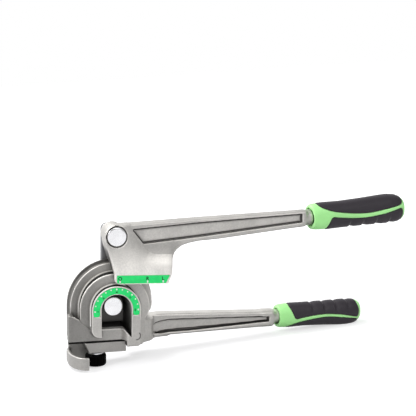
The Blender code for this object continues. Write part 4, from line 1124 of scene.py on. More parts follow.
@dataclass
class DieCasting:
    """Bending die and lower handle bar in one casting.

    Attributes:
        channel_ends: Z at which the smallest channel ends at the left and at the right.
        right_side: Right edge of the largest drum below its middle, down to the foot.
        gusset: Flare between the die and the bar, in X and Y.
    """

    drums: Drums
    step: float = 0.62
    pocket_half: float = 13.5
    pocket_back_half: float = 10.5
    pocket_taper: float = 8.0
    pocket_back: float = 24.0
    arch_z: float = 0.9
    ledge_z: float = -18.8
    ledge_depth: float = 12.4
    ledge_fall_x: float = 7.6
    hollow_z: float = -26.5
    base_z: float = -29.3
    foot_z: float = -34.2
    foot_left: float = 9.4
    apron_face: float = 7.9
    bar_front: float = 31.3
    bar_back: float = 45.0
    axis_z: float = -24.8
    ferrule: float = 6.75
    tang: float = 4.6
    recess: float = 2.5
    bore: float = 5.3
    channel_ends: Pair = (-18.5, 11.0)
    bar: Outline = (
        (12.0, -14.6), (30.0, -14.8), (38.6, -14.6), (46.0, -13.9), (62.0, -14.4), (80.0, -15.2), (115.0, -16.6),
        (161.0, -18.6), (161.0, -33.2), (111.6, -34.1), (76.6, -34.8), (58.0, -35.2), (51.6, -35.5), (46.0, -36.3),
        (42.3, -37.2), (39.0, -38.2), (34.9, -39.9), (30.9, -41.6), (12.0, -40.0),
    )
    bar_recess: Outline = (
        (39.4, -32.4), (39.4, -24.6), (42.4, -22.0), (48.4, -20.4), (56.0, -19.6), (77.0, -20.3), (156.0, -22.8),
        (156.0, -28.0), (77.2, -31.8), (55.9, -32.1), (48.4, -32.9),
    )
    bar_groove: Outline = (
        (42.0, -33.0), (48.4, -31.1), (55.9, -30.2), (77.2, -29.6), (120.0, -28.4), (154.5, -27.0), (155.0, -27.9),
        (120.0, -29.9), (77.2, -31.9), (55.9, -32.2), (48.4, -33.0),
    )
    gusset: Outline = (
        (20.0, 17.9), (30.8, 17.9), (36.5, 21.5), (39.2, 25.0), (39.9, 31.0), (47.0, 31.3), (56.0, 31.9), (56.0, 36.0),
        (20.0, 36.0),
    )
    right_side: Outline = (
        (36.0, -2.7), (35.1, -5.2), (33.8, -6.8), (32.6, -7.9), (31.7, -9.2), (31.1, -10.8), (30.6, -13.3),
        (30.1, -15.8), (29.7, -21.6), (29.5, -35.6),
    )

    def front_outline(self) -> Array:
        """Smallest drum with its two legs and the foot."""
        rim, half = self.drums.rims[0], self.pocket_half
        return np.concatenate(
            [
                [(-half, -24.5)], arc_points((-rim + 7.0, -17.5), 7.0, 270.0, 180.0, 9),
                arc_points((0.0, 0.0), rim, 180.0, 0.0), [(rim, -32.0), (rim - 2.2, self.foot_z)],
                [(self.foot_left, self.foot_z), (self.foot_left, self.base_z), (half, -23.8)],
                arc_points((0.0, self.arch_z), half, 0.0, 180.0),
            ]
        )

    def middle_outline(self) -> Array:
        """Middle drum with its right leg."""
        rim, left = self.drums.rims[1], self.foot_left + 1.7
        return np.concatenate(
            [
                [(-rim, self.base_z)], arc_points((0.0, 0.0), rim, 180.0, -4.0),
                [(31.0, -6.0), (29.6, -8.6), (28.4, -10.6), (27.9, -13.1), (27.6, -18.8), (27.2, -32.8), (24.9, -35.4)],
                [(left, -35.4), (left, self.base_z)],
            ]
        )

    def large_outlines(self) -> tuple[Array, Array]:
        """Front lip and flange of the largest drum, each an arc that is drawn in more at its right."""
        rim, side = self.drums.rims[2], np.array(self.right_side)
        foot = [(self.foot_left + 1.9, -35.6), (self.foot_left + 1.9, self.base_z)]
        bend = arc_points((0.0, 0.0), rim, 180.0, 0.0)
        lip = bend * np.where(bend[:, :1] > 0.0, (36.3 / rim, 1.0), (39.3 / rim, 1.0))
        bend = arc_points((0.0, 1.0), 41.2, 180.0, 0.0) - (0.0, 0.3)
        crown = bend * np.where(bend[:, :1] > 0.0, (38.9 / 41.2, 1.0), (0.992, 1.0))
        return (
            np.concatenate([[(-39.3, self.base_z)], lip, side, foot]),
            np.concatenate([[(-40.9, self.base_z)], crown, side + (2.6, 0.0), foot]),
        )

    def apron_outline(self) -> Array:
        """Face below the ledge and the apron at the left, with its slanted top edge."""
        return np.array(
            [
                (-42.3, self.base_z), (-42.3, -5.4), (-40.2, -4.9), (-36.5, -6.2), (-33.0, -8.5), (-30.2, -12.0),
                (-25.2, -15.9), (-21.1, -19.3), (-18.0, self.ledge_z), (14.5, self.ledge_z), (14.5, self.base_z),
            ]
        )

    def stacked(self, g: Lattice) -> Array:
        """Work out the stack of drums with their channels.

        Args:
            g: Where the field is sampled.

        Returns:
            The distance field.
        """
        x, y, z = g.axes
        d = self.drums
        lip, flange = self.large_outlines()
        solid = g.prism(self.front_outline(), d.faces[0], 10.0, 0.55)
        for outline, front, back, edge, fillet in (
            (self.middle_outline(), d.faces[1], 20.0, 0.45, 0.45), (lip, d.faces[2], 26.0, 0.45, 0.45),
            (shrink(flange, 1.5), 24.6, d.back, 0.5, 0.45), (flange, 29.9, d.back, 0.4, 0.3),
        ):
            solid = melt(solid, g.prism(outline, front, back, edge), fillet)
        radial = reach(x, np.maximum(z, 0.0))
        left, right = (np.minimum(z - end, 0.0) for end in self.channel_ends)
        ends = (np.where(x < 0.0, left, right), 0.0, 0.0)
        for line, depth, channel, below in zip(d.lines, d.depths, d.channels, ends):
            solid = carved(solid, (np.sqrt((radial - line) ** 2 + (y - depth) ** 2 + below**2) - channel, 0.3))
        return solid

    def web(self, g: Lattice) -> Array:
        """Distance from the ledge's wall, whose face swings forward to the right leg: y = 8 (1 - s(x)).

        Args:
            g: Where the field is sampled.

        Returns:
            The distance field, with s the smooth step 3t^2 - 2t^3.
        """
        x, y, z = g.axes
        part = np.clip((x - 4.5) / 6.5, 0.0, 1.0)
        face = (self.apron_face + 0.2) * (1.0 - part * part * (3.0 - 2.0 * part))
        return common((face - y) * 0.75, y - 18.0, slab(x, -14.6, 14.6), slab(z, self.base_z, self.ledge_z + 1.2))

    def pocketed(self, solid: Array, g: Lattice) -> Array:
        """Cut the pocket, its low slot, the pin bore and the label seat.

        Args:
            solid: Field of the casting.
            g: Where it is sampled.

        Returns:
            The cut field. The pocket's half width narrows evenly to the back.
        """
        x, y, z = g.axes
        part = np.clip((y - self.pocket_taper) / (self.pocket_back - self.pocket_taper), 0.0, 1.0)
        half = self.pocket_half + (self.pocket_back_half - self.pocket_half) * part
        arch = reach(x, np.maximum(z - self.arch_z, 0.0)) - half
        floor = self.ledge_z - 1.12 * np.maximum(x - self.ledge_fall_x, 0.0) + 0.3 * np.clip(y - 8.2, 0.0, 4.2)
        low = np.maximum((floor - z) * 0.8, -9.0)
        hollow = common(self.hollow_z - z, self.ledge_depth - y)
        pocket = common(arch, np.minimum(low, hollow), slab(y, -5.0, self.pocket_back))
        slot = common(np.abs(x) - 9.8, slab(z, self.hollow_z, -16.9), slab(y, self.ledge_depth, 29.4))
        around = reach(x, z)
        bore = common(around - self.bore, slab(y, 20.0, 35.0))
        seat = common(slab(around, 15.1, 21.1), -5.2 - z, slab(y, -4.0, 0.65))
        return carved(solid, (pocket, 0.45), (slot, 0.4), (bore, 0.25), (seat, 0.25))

    def with_bar(self, solid: Array, g: Lattice) -> Array:
        """Add the lower handle bar with its recesses, its flare into the die and its round end.

        Args:
            solid: Field of the casting.
            g: Where it is sampled.

        Returns:
            The field with the bar.
        """
        x, y, z = g.axes
        front, back = self.bar_front, self.bar_back
        away = reach(y - (front + back) / 2.0, z - self.axis_z)
        ferrule = extruded(away - self.ferrule, slab(x, 150.0, 168.0), 0.8)
        bar = melt(g.prism(self.bar, front, back, 2.6, 2.0), ferrule, 5.0)
        bar = melt(bar, extruded(away - self.tang, slab(x, 150.0, 181.0), 0.6), 0.6)
        neck = extruded(outline_distance(x, y, self.gusset, 1.5), slab(z, -36.2, -14.9), 1.0)
        panel = outline_distance(x, z, self.bar_recess, 0.6)
        moat = common(np.abs(panel + 0.35) - 0.4, slab(y, front, front + self.recess + 0.8), 43.0 - x)
        return carved(
            melt(melt(solid, neck, 1.0), bar, 1.0),
            (extruded(panel, slab(y, front - 8.0, front + self.recess), 0.5), 0.5),
            (g.prism(self.bar_groove, front, front + 5.4, 0.3), 0.3), (moat, 0.2),
            (extruded(panel, slab(y, back - self.recess, back + 8.0), 1.0), 1.0),
        )

    def build(self, bench: Bench) -> None:
        """Skin the casting: drums, apron, cheek and web, less the pocket, and the bar."""
        s = self.step
        g = Lattice(
            runs((-43.6, 46.0, s), (46.0, 150.0, 1.6), (150.0, 182.0, 0.9)), runs((-1.0, 46.2, s)),
            runs((-43.0, 43.4, s)),
        )
        cheek = np.array([(-42.3, self.base_z), (-42.3, -5.4), (-40.2, -4.9), (-37.4, -5.9), (-37.4, self.base_z)])
        solid = melt(self.stacked(g), g.prism(self.apron_outline(), self.apron_face, 9.8, 0.5, 0.8), 0.5)
        solid = melt(melt(solid, g.prism(cheek, self.apron_face, 19.0, 1.6, 0.8), 0.4), self.web(g), 0.5)
        values = self.with_bar(self.pocketed(solid, g), g)
        bench.skinned("die_body", g, values, np.eye(4), CAST_DIE, Body.BASE, "die_casting")


@dataclass
class ShoeHandle:
    """Forming shoe, pin boss and upper handle bar in one casting, in the axes of its pin.

    Attributes:
        sweep_edge: Upper edge of the hollow face, in the tool's axes, as are the two panels.
        strip: Corners of the slanted strip with its marks.
    """

    drums: Drums
    step: float = 0.62
    pin_x: float = 0.6
    pin_z: float = 66.7
    tilt: float = 2.04
    boss: float = 10.3
    lip: float = 1.0
    front: float = -0.5
    bar_front: float = 5.3
    bar_back: float = 20.0
    back: float = 29.6
    strip_top: float = -34.1
    reach: float = 179.6
    seat_z: float = 16.15
    rise: float = 6.64
    ferrule: float = 7.4
    tang: float = 5.1
    recess: float = 2.8
    head_seat: float = 9.7
    bore: float = 6.7
    side: Outline = (
        (-9.6, -4.8), (-3.0, 4.0), (52.4, 4.0), (52.4, -16.5), (51.3, -34.1), (47.0, -46.4), (3.6, -46.4),
        (2.8, -42.6), (1.0, -42.0), (-0.4, -40.6), (-0.9, -38.6), (-0.9, -34.1),
    )
    bar: Outline = (
        (0.0, 9.7), (17.0, 11.1), (76.2, 15.9), (180.6, 23.4), (180.6, 9.2), (95.2, -2.65), (76.8, -4.4),
        (68.0, -6.2), (61.5, -8.4), (56.8, -11.9), (53.8, -16.2), (52.5, -20.0), (40.0, -20.0), (0.0, -8.7),
    )
    sweep_edge: Outline = (
        (11.0, 80.0), (16.2, 71.0), (20.4, 64.2), (25.2, 57.2), (31.0, 51.6), (36.0, 49.6), (41.0, 48.8), (80.0, 47.2),
        (80.0, 0.0), (-60.0, 0.0), (-60.0, 110.0), (8.0, 110.0),
    )
    panel: Outline = ((14.9, 72.4), (25.4, 58.9), (77.6, 63.3), (177.8, 73.3), (177.6, 81.4), (77.4, 76.6))
    panel_step: Outline = ((25.0, 60.1), (26.3, 59.0), (77.6, 63.4), (177.0, 73.4), (177.0, 74.3), (77.4, 64.6))
    strip: Outline = ((2.6, -41.8), (45.9, -41.8), (49.4, -34.6), (1.0, -34.6), (1.0, -40.2), (1.5, -41.3))

    @property
    def matrix(self) -> Array:
        """Matrix from the pin's axes to the tool's axes."""
        return shift(self.pin_x, 0.0, self.pin_z) @ turn_y(self.tilt)

    def local(self, outline: Outline) -> Array:
        """Carry an outline of the tool's X and Z into the pin's axes."""
        flat = np.array([(x, 0.0, z, 1.0) for x, z in outline])
        return (flat @ np.linalg.inv(self.matrix).T)[:, [0, 2]]

    def field(self, g: Lattice) -> Array:
        """Work out the distance field: stepped shoe and boss behind the hollow face, and the bar.

        The hollow face lies at front + (bar - front) (1 - t)^2.3, where t runs
        from its upper edge to the top of the strip.

        Args:
            g: Where it is sampled.

        Returns:
            The distance field.
        """
        x, y, z = g.axes
        d, around = self.drums, reach(x, z)
        swept = outline_distance(x, z, self.local(self.sweep_edge))
        inward = np.maximum(-swept, 0.0)
        part = inward / (inward + np.maximum(z - self.strip_top, 0.0) + 1e-4)
        face = (self.front + (self.bar_front - self.front) * (1.0 - part) ** 2.3 - y) * 0.92
        block = melt(outline_distance(x, z, self.side, 1.4), around - self.boss, 3.0)
        ends = (d.faces[1] - 0.95, d.faces[2] - 0.8, self.back)
        steps = [common(line + self.lip - self.pin_z - z, y - end) for line, end in zip(d.lines, ends)]
        stack = functools.reduce(np.minimum, steps)
        slope = (z + 1.6 + 0.577 * (y - 18.4)) * 0.866
        crown = np.minimum(np.minimum(slope, around - self.boss), common(y - self.bar_back, z - 30.0))
        shoe = carved(extruded(block, common(stack, face), 0.7), (-crown, 0.8))
        bar_flat = outline_distance(x, z, self.bar, 1.2)
        cheek = extruded(common(bar_flat, swept), common(y - self.bar_back, face), 1.0)
        bar = extruded(bar_flat, slab(y, self.bar_front, self.bar_back), 1.6)
        return self.machined(self.with_tang(melt(melt(shoe, cheek, 0.4), bar, 0.8), g), g)

    def with_tang(self, solid: Array, g: Lattice) -> Array:
        """Add the round end that enters the grip, along the bar's rising axis."""
        x, y, z = g.axes
        cosine, sine = math.cos(math.radians(self.rise)), math.sin(math.radians(self.rise))
        along = (x - self.reach) * cosine + (z - self.seat_z) * sine
        across = (z - self.seat_z) * cosine - (x - self.reach) * sine
        away = reach(y - (self.bar_front + self.bar_back) / 2.0, across)
        solid = melt(solid, extruded(away - self.ferrule, slab(along, -8.0, 8.0), 0.8), 3.0)
        return melt(solid, extruded(away - self.tang, slab(along, -8.0, 22.0), 0.6), 0.6)

    def machined(self, solid: Array, g: Lattice) -> Array:
        """Cut the channels, the pin's counterbore, the strip's seat and the bar's panel.

        Args:
            solid: Field of the casting.
            g: Where it is sampled.

        Returns:
            The cut field.
        """
        x, y, z = g.axes
        d, around, front = self.drums, reach(x, z), self.bar_front
        for line, depth, channel in zip(d.lines, d.depths, d.channels):
            tube = reach(y - depth, z - (line - self.pin_z)) - channel
            solid = carved(solid, (common(tube, slab(x, -30.0, 60.0)), 0.4))
        seat = outline_distance(x, z, shrink(self.strip, -0.25))
        panel = outline_distance(x, z, self.local(self.panel), 1.0)
        low = outline_distance(x, z, self.local(self.panel_step))
        return carved(
            solid, (common(around - self.head_seat, slab(y, -5.0, 6.4)), 0.5),
            (common(around - self.bore, slab(y, 5.0, 40.0)), 0.3),
            (common(seat, slab(y, -5.0, self.front + 0.65)), 0.25),
            (extruded(panel, slab(y, -8.0, front + self.recess), 0.4), 0.5),
            (common(np.abs(panel + 0.35) - 0.4, slab(y, front, front + self.recess + 0.7)), 0.2),
            (common(low, slab(y, front, front + self.recess + 0.6)), 0.3),
        )

    def build(self, bench: Bench) -> None:
        """Skin the casting and lay the strip with its marks in it."""
        s = self.step
        g = Lattice(
            runs((-12.0, 54.0, s), (54.0, 172.0, 1.5), (172.0, 203.0, 0.8)), runs((-1.6, 31.6, s)),
            runs((-43.5, 27.5, s)),
        )
        bench.skinned("shoe_body", g, self.field(g), self.matrix, CAST_SHOE, Body.HANDLE, "shoe_handle")
        level = self.front + 0.1
        strip = plate(soften(self.strip, 0.8), level, level + 0.5, 0.12)
        boxes = [soften(centred_box(x, -40.3, 1.3, 2.2), 0.5) for x in (3.7, 28.9, 43.3)]
        ticks = Shell.joined([plate(box, level - 0.03, level + 0.2, 0.05) for box in boxes])
        places = (("O", 3.7), ("R", 28.7), ("L", 43.1))
        letters = Shell.joined([written(text, (x, -38.9), 4.5, level - 0.03) for text, x in places])
        for name, shell, finish, node in (
            ("shoe_strip", strip, LABEL, "shoe_scale"), ("strip_ticks", ticks, MARK_LIGHT, ""),
            ("strip_letters", letters, MARK_DARK, ""),
        ):
            bench.add(name, shell.moved(self.matrix), finish, Body.HANDLE, node, recalculate=shell is not letters)


@dataclass
class AngleLabel:
    """Green arc with its angle marks on the smallest drum."""

    outer: float = 20.9
    inner: float = 15.3
    end_z: float = -5.0
    level: float = 0.1
    tick_radius: float = 19.7
    figure_radius: float = 16.2
    steps: int = 13
    step_degrees: float = 15.0

    def build(self, bench: Bench) -> None:
        """Make the arc, its ticks and its figures, one for each third tick."""
        sides = [arc_points((0.0, 0.0), radius, -6.0, 186.0, 81) for radius in (self.outer, self.inner)]
        ends = [
            [(x - sign * inset, self.end_z + rise) for inset, rise in ((0.0, 2.0), (0.2, 0.9), (0.9, 0.2), (2.0, 0.0))]
            for x, sign in ((-self.outer, -1.0), (-self.inner, 1.0), (self.inner, -1.0), (self.outer, 1.0))
        ]
        outline = np.concatenate([sides[0], ends[0], ends[1][::-1], sides[1][::-1], ends[2], ends[3][::-1]])
        arc = plate(outline, self.level, self.level + 0.5, 0.12)
        ticks, figures = [], []
        for step in range(self.steps):
            degrees = 180.0 - self.step_degrees * step
            angle = math.radians(degrees)
            radial = np.array([math.cos(angle), math.sin(angle)])
            dot = arc_points(tuple(self.tick_radius * radial), 0.68 if step % 3 else 0.8, 0.0, 345.0, 24)
            ticks.append(plate(dot, self.level - 0.03, self.level + 0.2, 0.05))
            if step % 3 == 0:
                text, place = str(round(self.step_degrees * step)), tuple(self.figure_radius * radial)
                figures.append(written(text, place, 2.0, self.level - 0.03, math.degrees(angle) - 90.0))
        bench.add("angle_arc", arc, LABEL, Body.BASE, "angle_scale", recalculate=True)
        bench.add("angle_ticks", Shell.joined(ticks), MARK_LIGHT, Body.BASE, recalculate=True)
        bench.add("angle_figures", Shell.joined(figures), MARK_DARK, Body.BASE)


@dataclass
class Grip:
    """Grip with a firm core, a smooth palm pad and a ribbed finger pad, along X from its mouth.

    Attributes:
        name: First part of the names of its pieces.
        body: Body that it rides on.
        share: Size as a share of the upper grip's.
        matrix: Matrix from the grip's axes to the tool's axes.
        flip: Whether the ribbed pad is on top.
        cup: X and Z of the round cup in its mouth.
        cup_radius: Radius of the cup before the share.
        finger_rise: How far the ribbed pad's edge is moved up.
        palm_rise: How far the palm pad's edge is moved up.
        power: Power of the rounded cross-section, 2 for an ellipse.
        stations: Place along the length, then half-heights above and below, as shares.
        palm: Edge of the palm pad in the side view, in shares of length and height.
        finger: Edge of the ribbed pad, likewise.
    """

    name: str
    body: Body
    share: float
    matrix: Array
    flip: bool
    cup: Pair
    cup_radius: float
    finger_rise: float = -0.9
    palm_rise: float = -0.9
    length: float = 98.7
    height: float = 14.1
    depth_share: float = 0.855
    power: float = 2.25
    scoop: float = 2.0
    inset: float = 3.0
    step: float = 0.6
    rib_start: float = 0.402
    rib_pitch: float = 13.7
    rib_depth: float = 1.25
    far: float = 30.0
    stations: tuple[Triple, ...] = (
        (0.0, 0.77, 0.71), (0.012, 0.86, 0.78), (0.035, 0.91, 0.83), (0.09, 0.93, 0.87), (0.16, 0.93, 0.90),
        (0.32, 0.89, 0.90), (0.56, 0.93, 0.93), (0.74, 0.99, 0.96), (0.82, 1.0, 0.97), (0.90, 0.92, 0.94),
        (0.945, 0.78, 0.86), (0.975, 0.58, 0.69), (0.992, 0.36, 0.46), (1.0, 0.03, 0.03),
    )
    palm: Outline = (
        (0.079, 0.95), (0.092, 0.84), (0.120, 0.70), (0.189, 0.49), (0.25, 0.36), (0.311, 0.28), (0.402, 0.17),
        (0.491, 0.095), (0.55, 0.07), (0.604, 0.07), (0.66, 0.10), (0.707, 0.14), (0.765, 0.19), (0.821, 0.24),
        (0.88, 0.30), (0.924, 0.36), (0.943, 0.45), (0.950, 0.60), (0.946, 0.85),
    )
    finger: Outline = (
        (0.135, -0.95), (0.150, -0.75), (0.172, -0.42), (0.192, -0.12), (0.205, -0.01), (0.222, 0.02), (0.26, -0.04),
        (0.321, -0.11), (0.40, -0.19), (0.481, -0.24), (0.55, -0.26), (0.604, -0.25), (0.68, -0.20), (0.759, -0.13),
        (0.84, -0.01), (0.905, 0.09), (0.925, 0.10), (0.940, 0.04), (0.950, -0.14), (0.948, -0.46), (0.928, -0.85),
    )

    def halves(self, x: Array) -> tuple[Array, Array]:
        """Half-heights above and below the axis along the grip, smoothed between stations.

        Args:
            x: Places along the grip.

        Returns:
            The two half-heights at each place.
        """
        place, above, below = np.array(self.stations).T
        size = self.height * self.share
        ends = place * self.length * self.share
        fine = np.linspace(ends[0] - 4.0, ends[-1], 1400)
        kernel = np.hanning(41) / np.hanning(41).sum()
        halves = []
        for table in (above, below):
            level = np.interp(fine, ends, table) * size
            level = np.convolve(np.pad(level, len(kernel) // 2, "edge"), kernel, "valid")
            level *= np.sqrt(np.clip((ends[-1] - fine) / (ends[-1] * 0.02), 0.0, 1.0))
            halves.append(np.interp(x, fine, level, right=0.0).astype(np.float32))
        return halves[0], halves[1]

    def skin(self, g: Lattice) -> Array:
        """Distance from the outer skin: k0 (k0 - 1) / k1 with k0 = |p / h| and k1 = |p / h^2|.

        Args:
            g: Where the field is sampled.

        Returns:
            The distance field.
        """
        x, y, z = g.axes
        above, below = self.halves(x)
        tall = np.maximum(np.where(z > 0.0, above, below), 0.02)
        deep = np.maximum((above + below) / 2.0 * self.depth_share, 0.02)
        k0 = ((np.abs(y) / deep) ** self.power + (np.abs(z) / tall) ** self.power) ** (1.0 / self.power)
        k1 = reach(y / deep**2, z / tall**2) + 1e-5
        return common(np.clip(k0 * (k0 - 1.0) / k1, -9.0, 9.0), slab(x, 0.0, self.length * self.share + 1.0))

    def region(self, g: Lattice, edge: Outline, far: float, rise: float) -> Array:
        """Distance from a pad's outline in the side view.

        Args:
            g: Where the field is sampled.
            edge: The pad's edge in shares of length and height.
            far: Z at which the outline closes, beyond the grip.
            rise: How far the edge is moved up.

        Returns:
            The distance field.
        """
        x, _, z = g.axes
        line = np.array(edge) * (np.array([self.length, self.height]) * self.share) + (0.0, rise)
        return outline_distance(x, z, np.concatenate([[(line[0, 0] - 0.8, far)], line, [(line[-1, 0] - 0.6, far)]]))

    def ribs(self, g: Lattice) -> Array:
        """Depth of the notches between the ribs: a quick fall and a slow rise along the pad.

        Args:
            g: Where it is sampled.

        Returns:
            The depth, which fades towards the pad's ends and its upper edge.
        """
        x, _, z = g.axes
        length = self.length * self.share
        turn = ((x - self.rib_start * self.length * self.share) / (self.rib_pitch * self.share)) % 1.0
        fall = np.clip(1.0 - np.abs(turn - 1.0) / 0.15, 0.0, 1.0)
        rise = np.clip(1.0 - turn / 0.42, 0.0, 1.0) ** 1.6
        inside = np.clip((x / length - 0.30) / 0.06, 0.0, 1.0) * np.clip((0.93 - x / length) / 0.03, 0.0, 1.0)
        spread = np.clip((-z / (self.height * self.share) - 0.05) / 0.65, 0.0, 1.0)
        return self.rib_depth * self.share * np.maximum(fall, rise) * inside * (0.06 + 0.94 * spread**1.4)

    def build(self, bench: Bench) -> None:
        """Skin the core and the two pads."""
        s, share = self.step, self.share
        top = self.height * share + 1.6
        g = Lattice(runs((-1.2, self.length * share + 1.2, s)), runs((-top, top, s)), runs((-top, top, s)))
        x, y, z = g.axes
        skin = self.skin(g)
        palm = self.region(g, self.palm, self.far, self.palm_rise)
        finger = self.region(g, self.finger, -self.far, self.finger_rise)
        deep = skin + self.inset * share
        along, away = x - self.cup[0], reach(y, z - self.cup[1])
        core = carved(
            skin, *((common(flat - 0.28, -deep), 0.7) for flat in (palm, finger)),
            (extruded(away - self.cup_radius * share, slab(along, -20.0, 9.0), 1.2), 1.1),
            (common(away - 6.0 * share, slab(along, -20.0, 24.0)), 0.4),
        )
        core = common(core, (self.scoop * np.clip(-y / 9.0, 0.0, 1.0) - x) * 0.9)
        pad_skin, floor = skin - 0.2, -deep + 0.2
        for suffix, values, finish, node in (
            ("core", core, GRIP_GREEN, "grip_core"),
            ("palm", extruded(palm, common(pad_skin, floor), 0.9), PAD_RUBBER, "palm_pad"),
            ("finger", extruded(finger, common(pad_skin + self.ribs(g), floor), 0.9), PAD_RUBBER, "finger_pad"),
        ):
            name = f"{self.name}_{suffix}_skin"
            bench.skinned(name, g, values, self.matrix, finish, self.body, f"{self.name}_{node}", self.flip)


@dataclass
class HookLatch:
    """Sliding hook that holds the tube, with its stud, washer and knob.

    Attributes:
        face: Corners of the plate in X and Z.
        arm: X and Y of the middle of the curved arm.
        arm_outer: Half width and half depth of the arm's outer curve.
        arm_inner: The same of its inner curve.
    """

    stud_x: float = -16.6
    stud_y: float = 16.0
    stud_radius: float = 3.0
    travel: float = 12.0
    slot: float = 3.4
    drop: float = -53.3
    knob_top: float = -42.7
    knob_radius: float = 9.6
    flutes: int = 20
    flute_depth: float = 0.055
    turns: int = 240
    face: Outline = ((-27.8, -30.8), (10.4, -30.8), (10.4, -40.9), (-23.2, -40.9))
    arm: Pair = (-25.0, 20.0)
    arm_outer: Pair = (16.2, 24.3)
    arm_inner: Pair = (13.4, 21.5)

    def field(self, g: Lattice) -> Array:
        """Work out the hook's distance field: plate, root wall and curved arm, less the slot.

        Args:
            g: Where it is sampled.

        Returns:
            The distance field.
        """
        x, y, z = g.axes
        root = extruded(common(slab(x, -39.5, -20.0), slab(y, 29.8, 33.5)), slab(z, self.drop, -31.1), 0.5)
        angles = np.radians(np.linspace(0.0, 88.0, 40))
        outer, inner = (
            np.stack([self.arm[0] - wide * np.cos(angles), self.arm[1] - deep * np.sin(angles)], axis=1)
            for wide, deep in (self.arm_outer, self.arm_inner)
        )
        plan = np.concatenate([[(-38.4, 31.5), (-41.2, 31.5)], outer, inner[::-1]])
        arm = extruded(outline_distance(x, y, plan), slab(z, self.drop + 0.6, -41.2), 0.6)
        solid = melt(melt(g.prism(self.face, 9.0, 33.2, 0.55), root, 1.0), arm, 1.4)
        half = self.travel / 2.0
        away = reach(np.maximum(np.abs(x - self.stud_x - half) - half, 0.0), y - self.stud_y)
        return carved(solid, (common(away - self.slot, slab(z, -45.0, -28.0)), 0.3))

    def build(self, bench: Bench) -> None:
        """Skin the hook and turn the stud, washer and knob."""
        g = Lattice(runs((-42.2, 11.0, 0.55)), runs((-5.8, 35.0, 0.55)), runs((-55.0, -29.5, 0.55)))
        bench.skinned("hook_body", g, self.field(g), np.eye(4), CAST_HOOK, Body.HOOK, "latch_hook")
        centre, radius = (self.stud_x, self.stud_y, 0.0), self.stud_radius
        stud = soften(np.array([(0.01, -48.0), (radius, -48.0), (radius, -23.0), (0.01, -23.0)]), 0.4, closed=False)
        bench.add("stud_rod", lathe(stud, Axis.Z, centre, steps=48), LINK_STEEL, Body.BASE, "latch_stud")
        washer = lathe(collar(3.3, 7.2, -42.3, -41.2), Axis.Z, centre, True)
        bench.add("stud_washer", washer, PIN_PLATE, Body.KNOB, "latch_washer")
        bench.add("grip_knob", self.knob().moved(shift(*centre)), KNOB_BLACK, Body.KNOB, "latch_knob")

    def knob(self) -> Shell:
        """Fluted knob: r = profile (1 - depth flute(a) side(h)), with flute = max(0, cos na)^2."""
        top, low, edge = self.knob_top, self.drop, self.knob_radius
        corners = [
            (0.01, low), (6.8, low), (7.2, low + 0.5), (edge - 0.9, low + 0.1), (edge, low + 1.2), (edge, top - 1.3),
            (edge - 1.2, top), (6.0, top), (5.9, top - 5.9), (3.4, top - 5.9), (3.4, -48.3), (0.01, -48.3),
        ]
        profile = soften(np.array(corners), 0.5, closed=False, steps=5)
        sides = np.interp(profile[:, 1], [low + 0.6, low + 1.8, top - 1.8, top - 0.6], [0.0, 1.0, 1.0, 0.0])
        sides = sides * (profile[:, 0] > edge - 1.5)
        shell = lathe(profile, Axis.Z, (0.0, 0.0, 0.0), steps=self.turns)
        angle = np.arctan2(shell.points[:, 1], shell.points[:, 0])
        flute = np.maximum(np.cos(self.flutes * angle), 0.0) ** 2
        share = 1.0 - self.flute_depth * flute * np.tile(sides, self.turns)
        return Shell(shell.points * np.stack([share, share, np.ones_like(share)], axis=1), shell.quads, shell.caps)


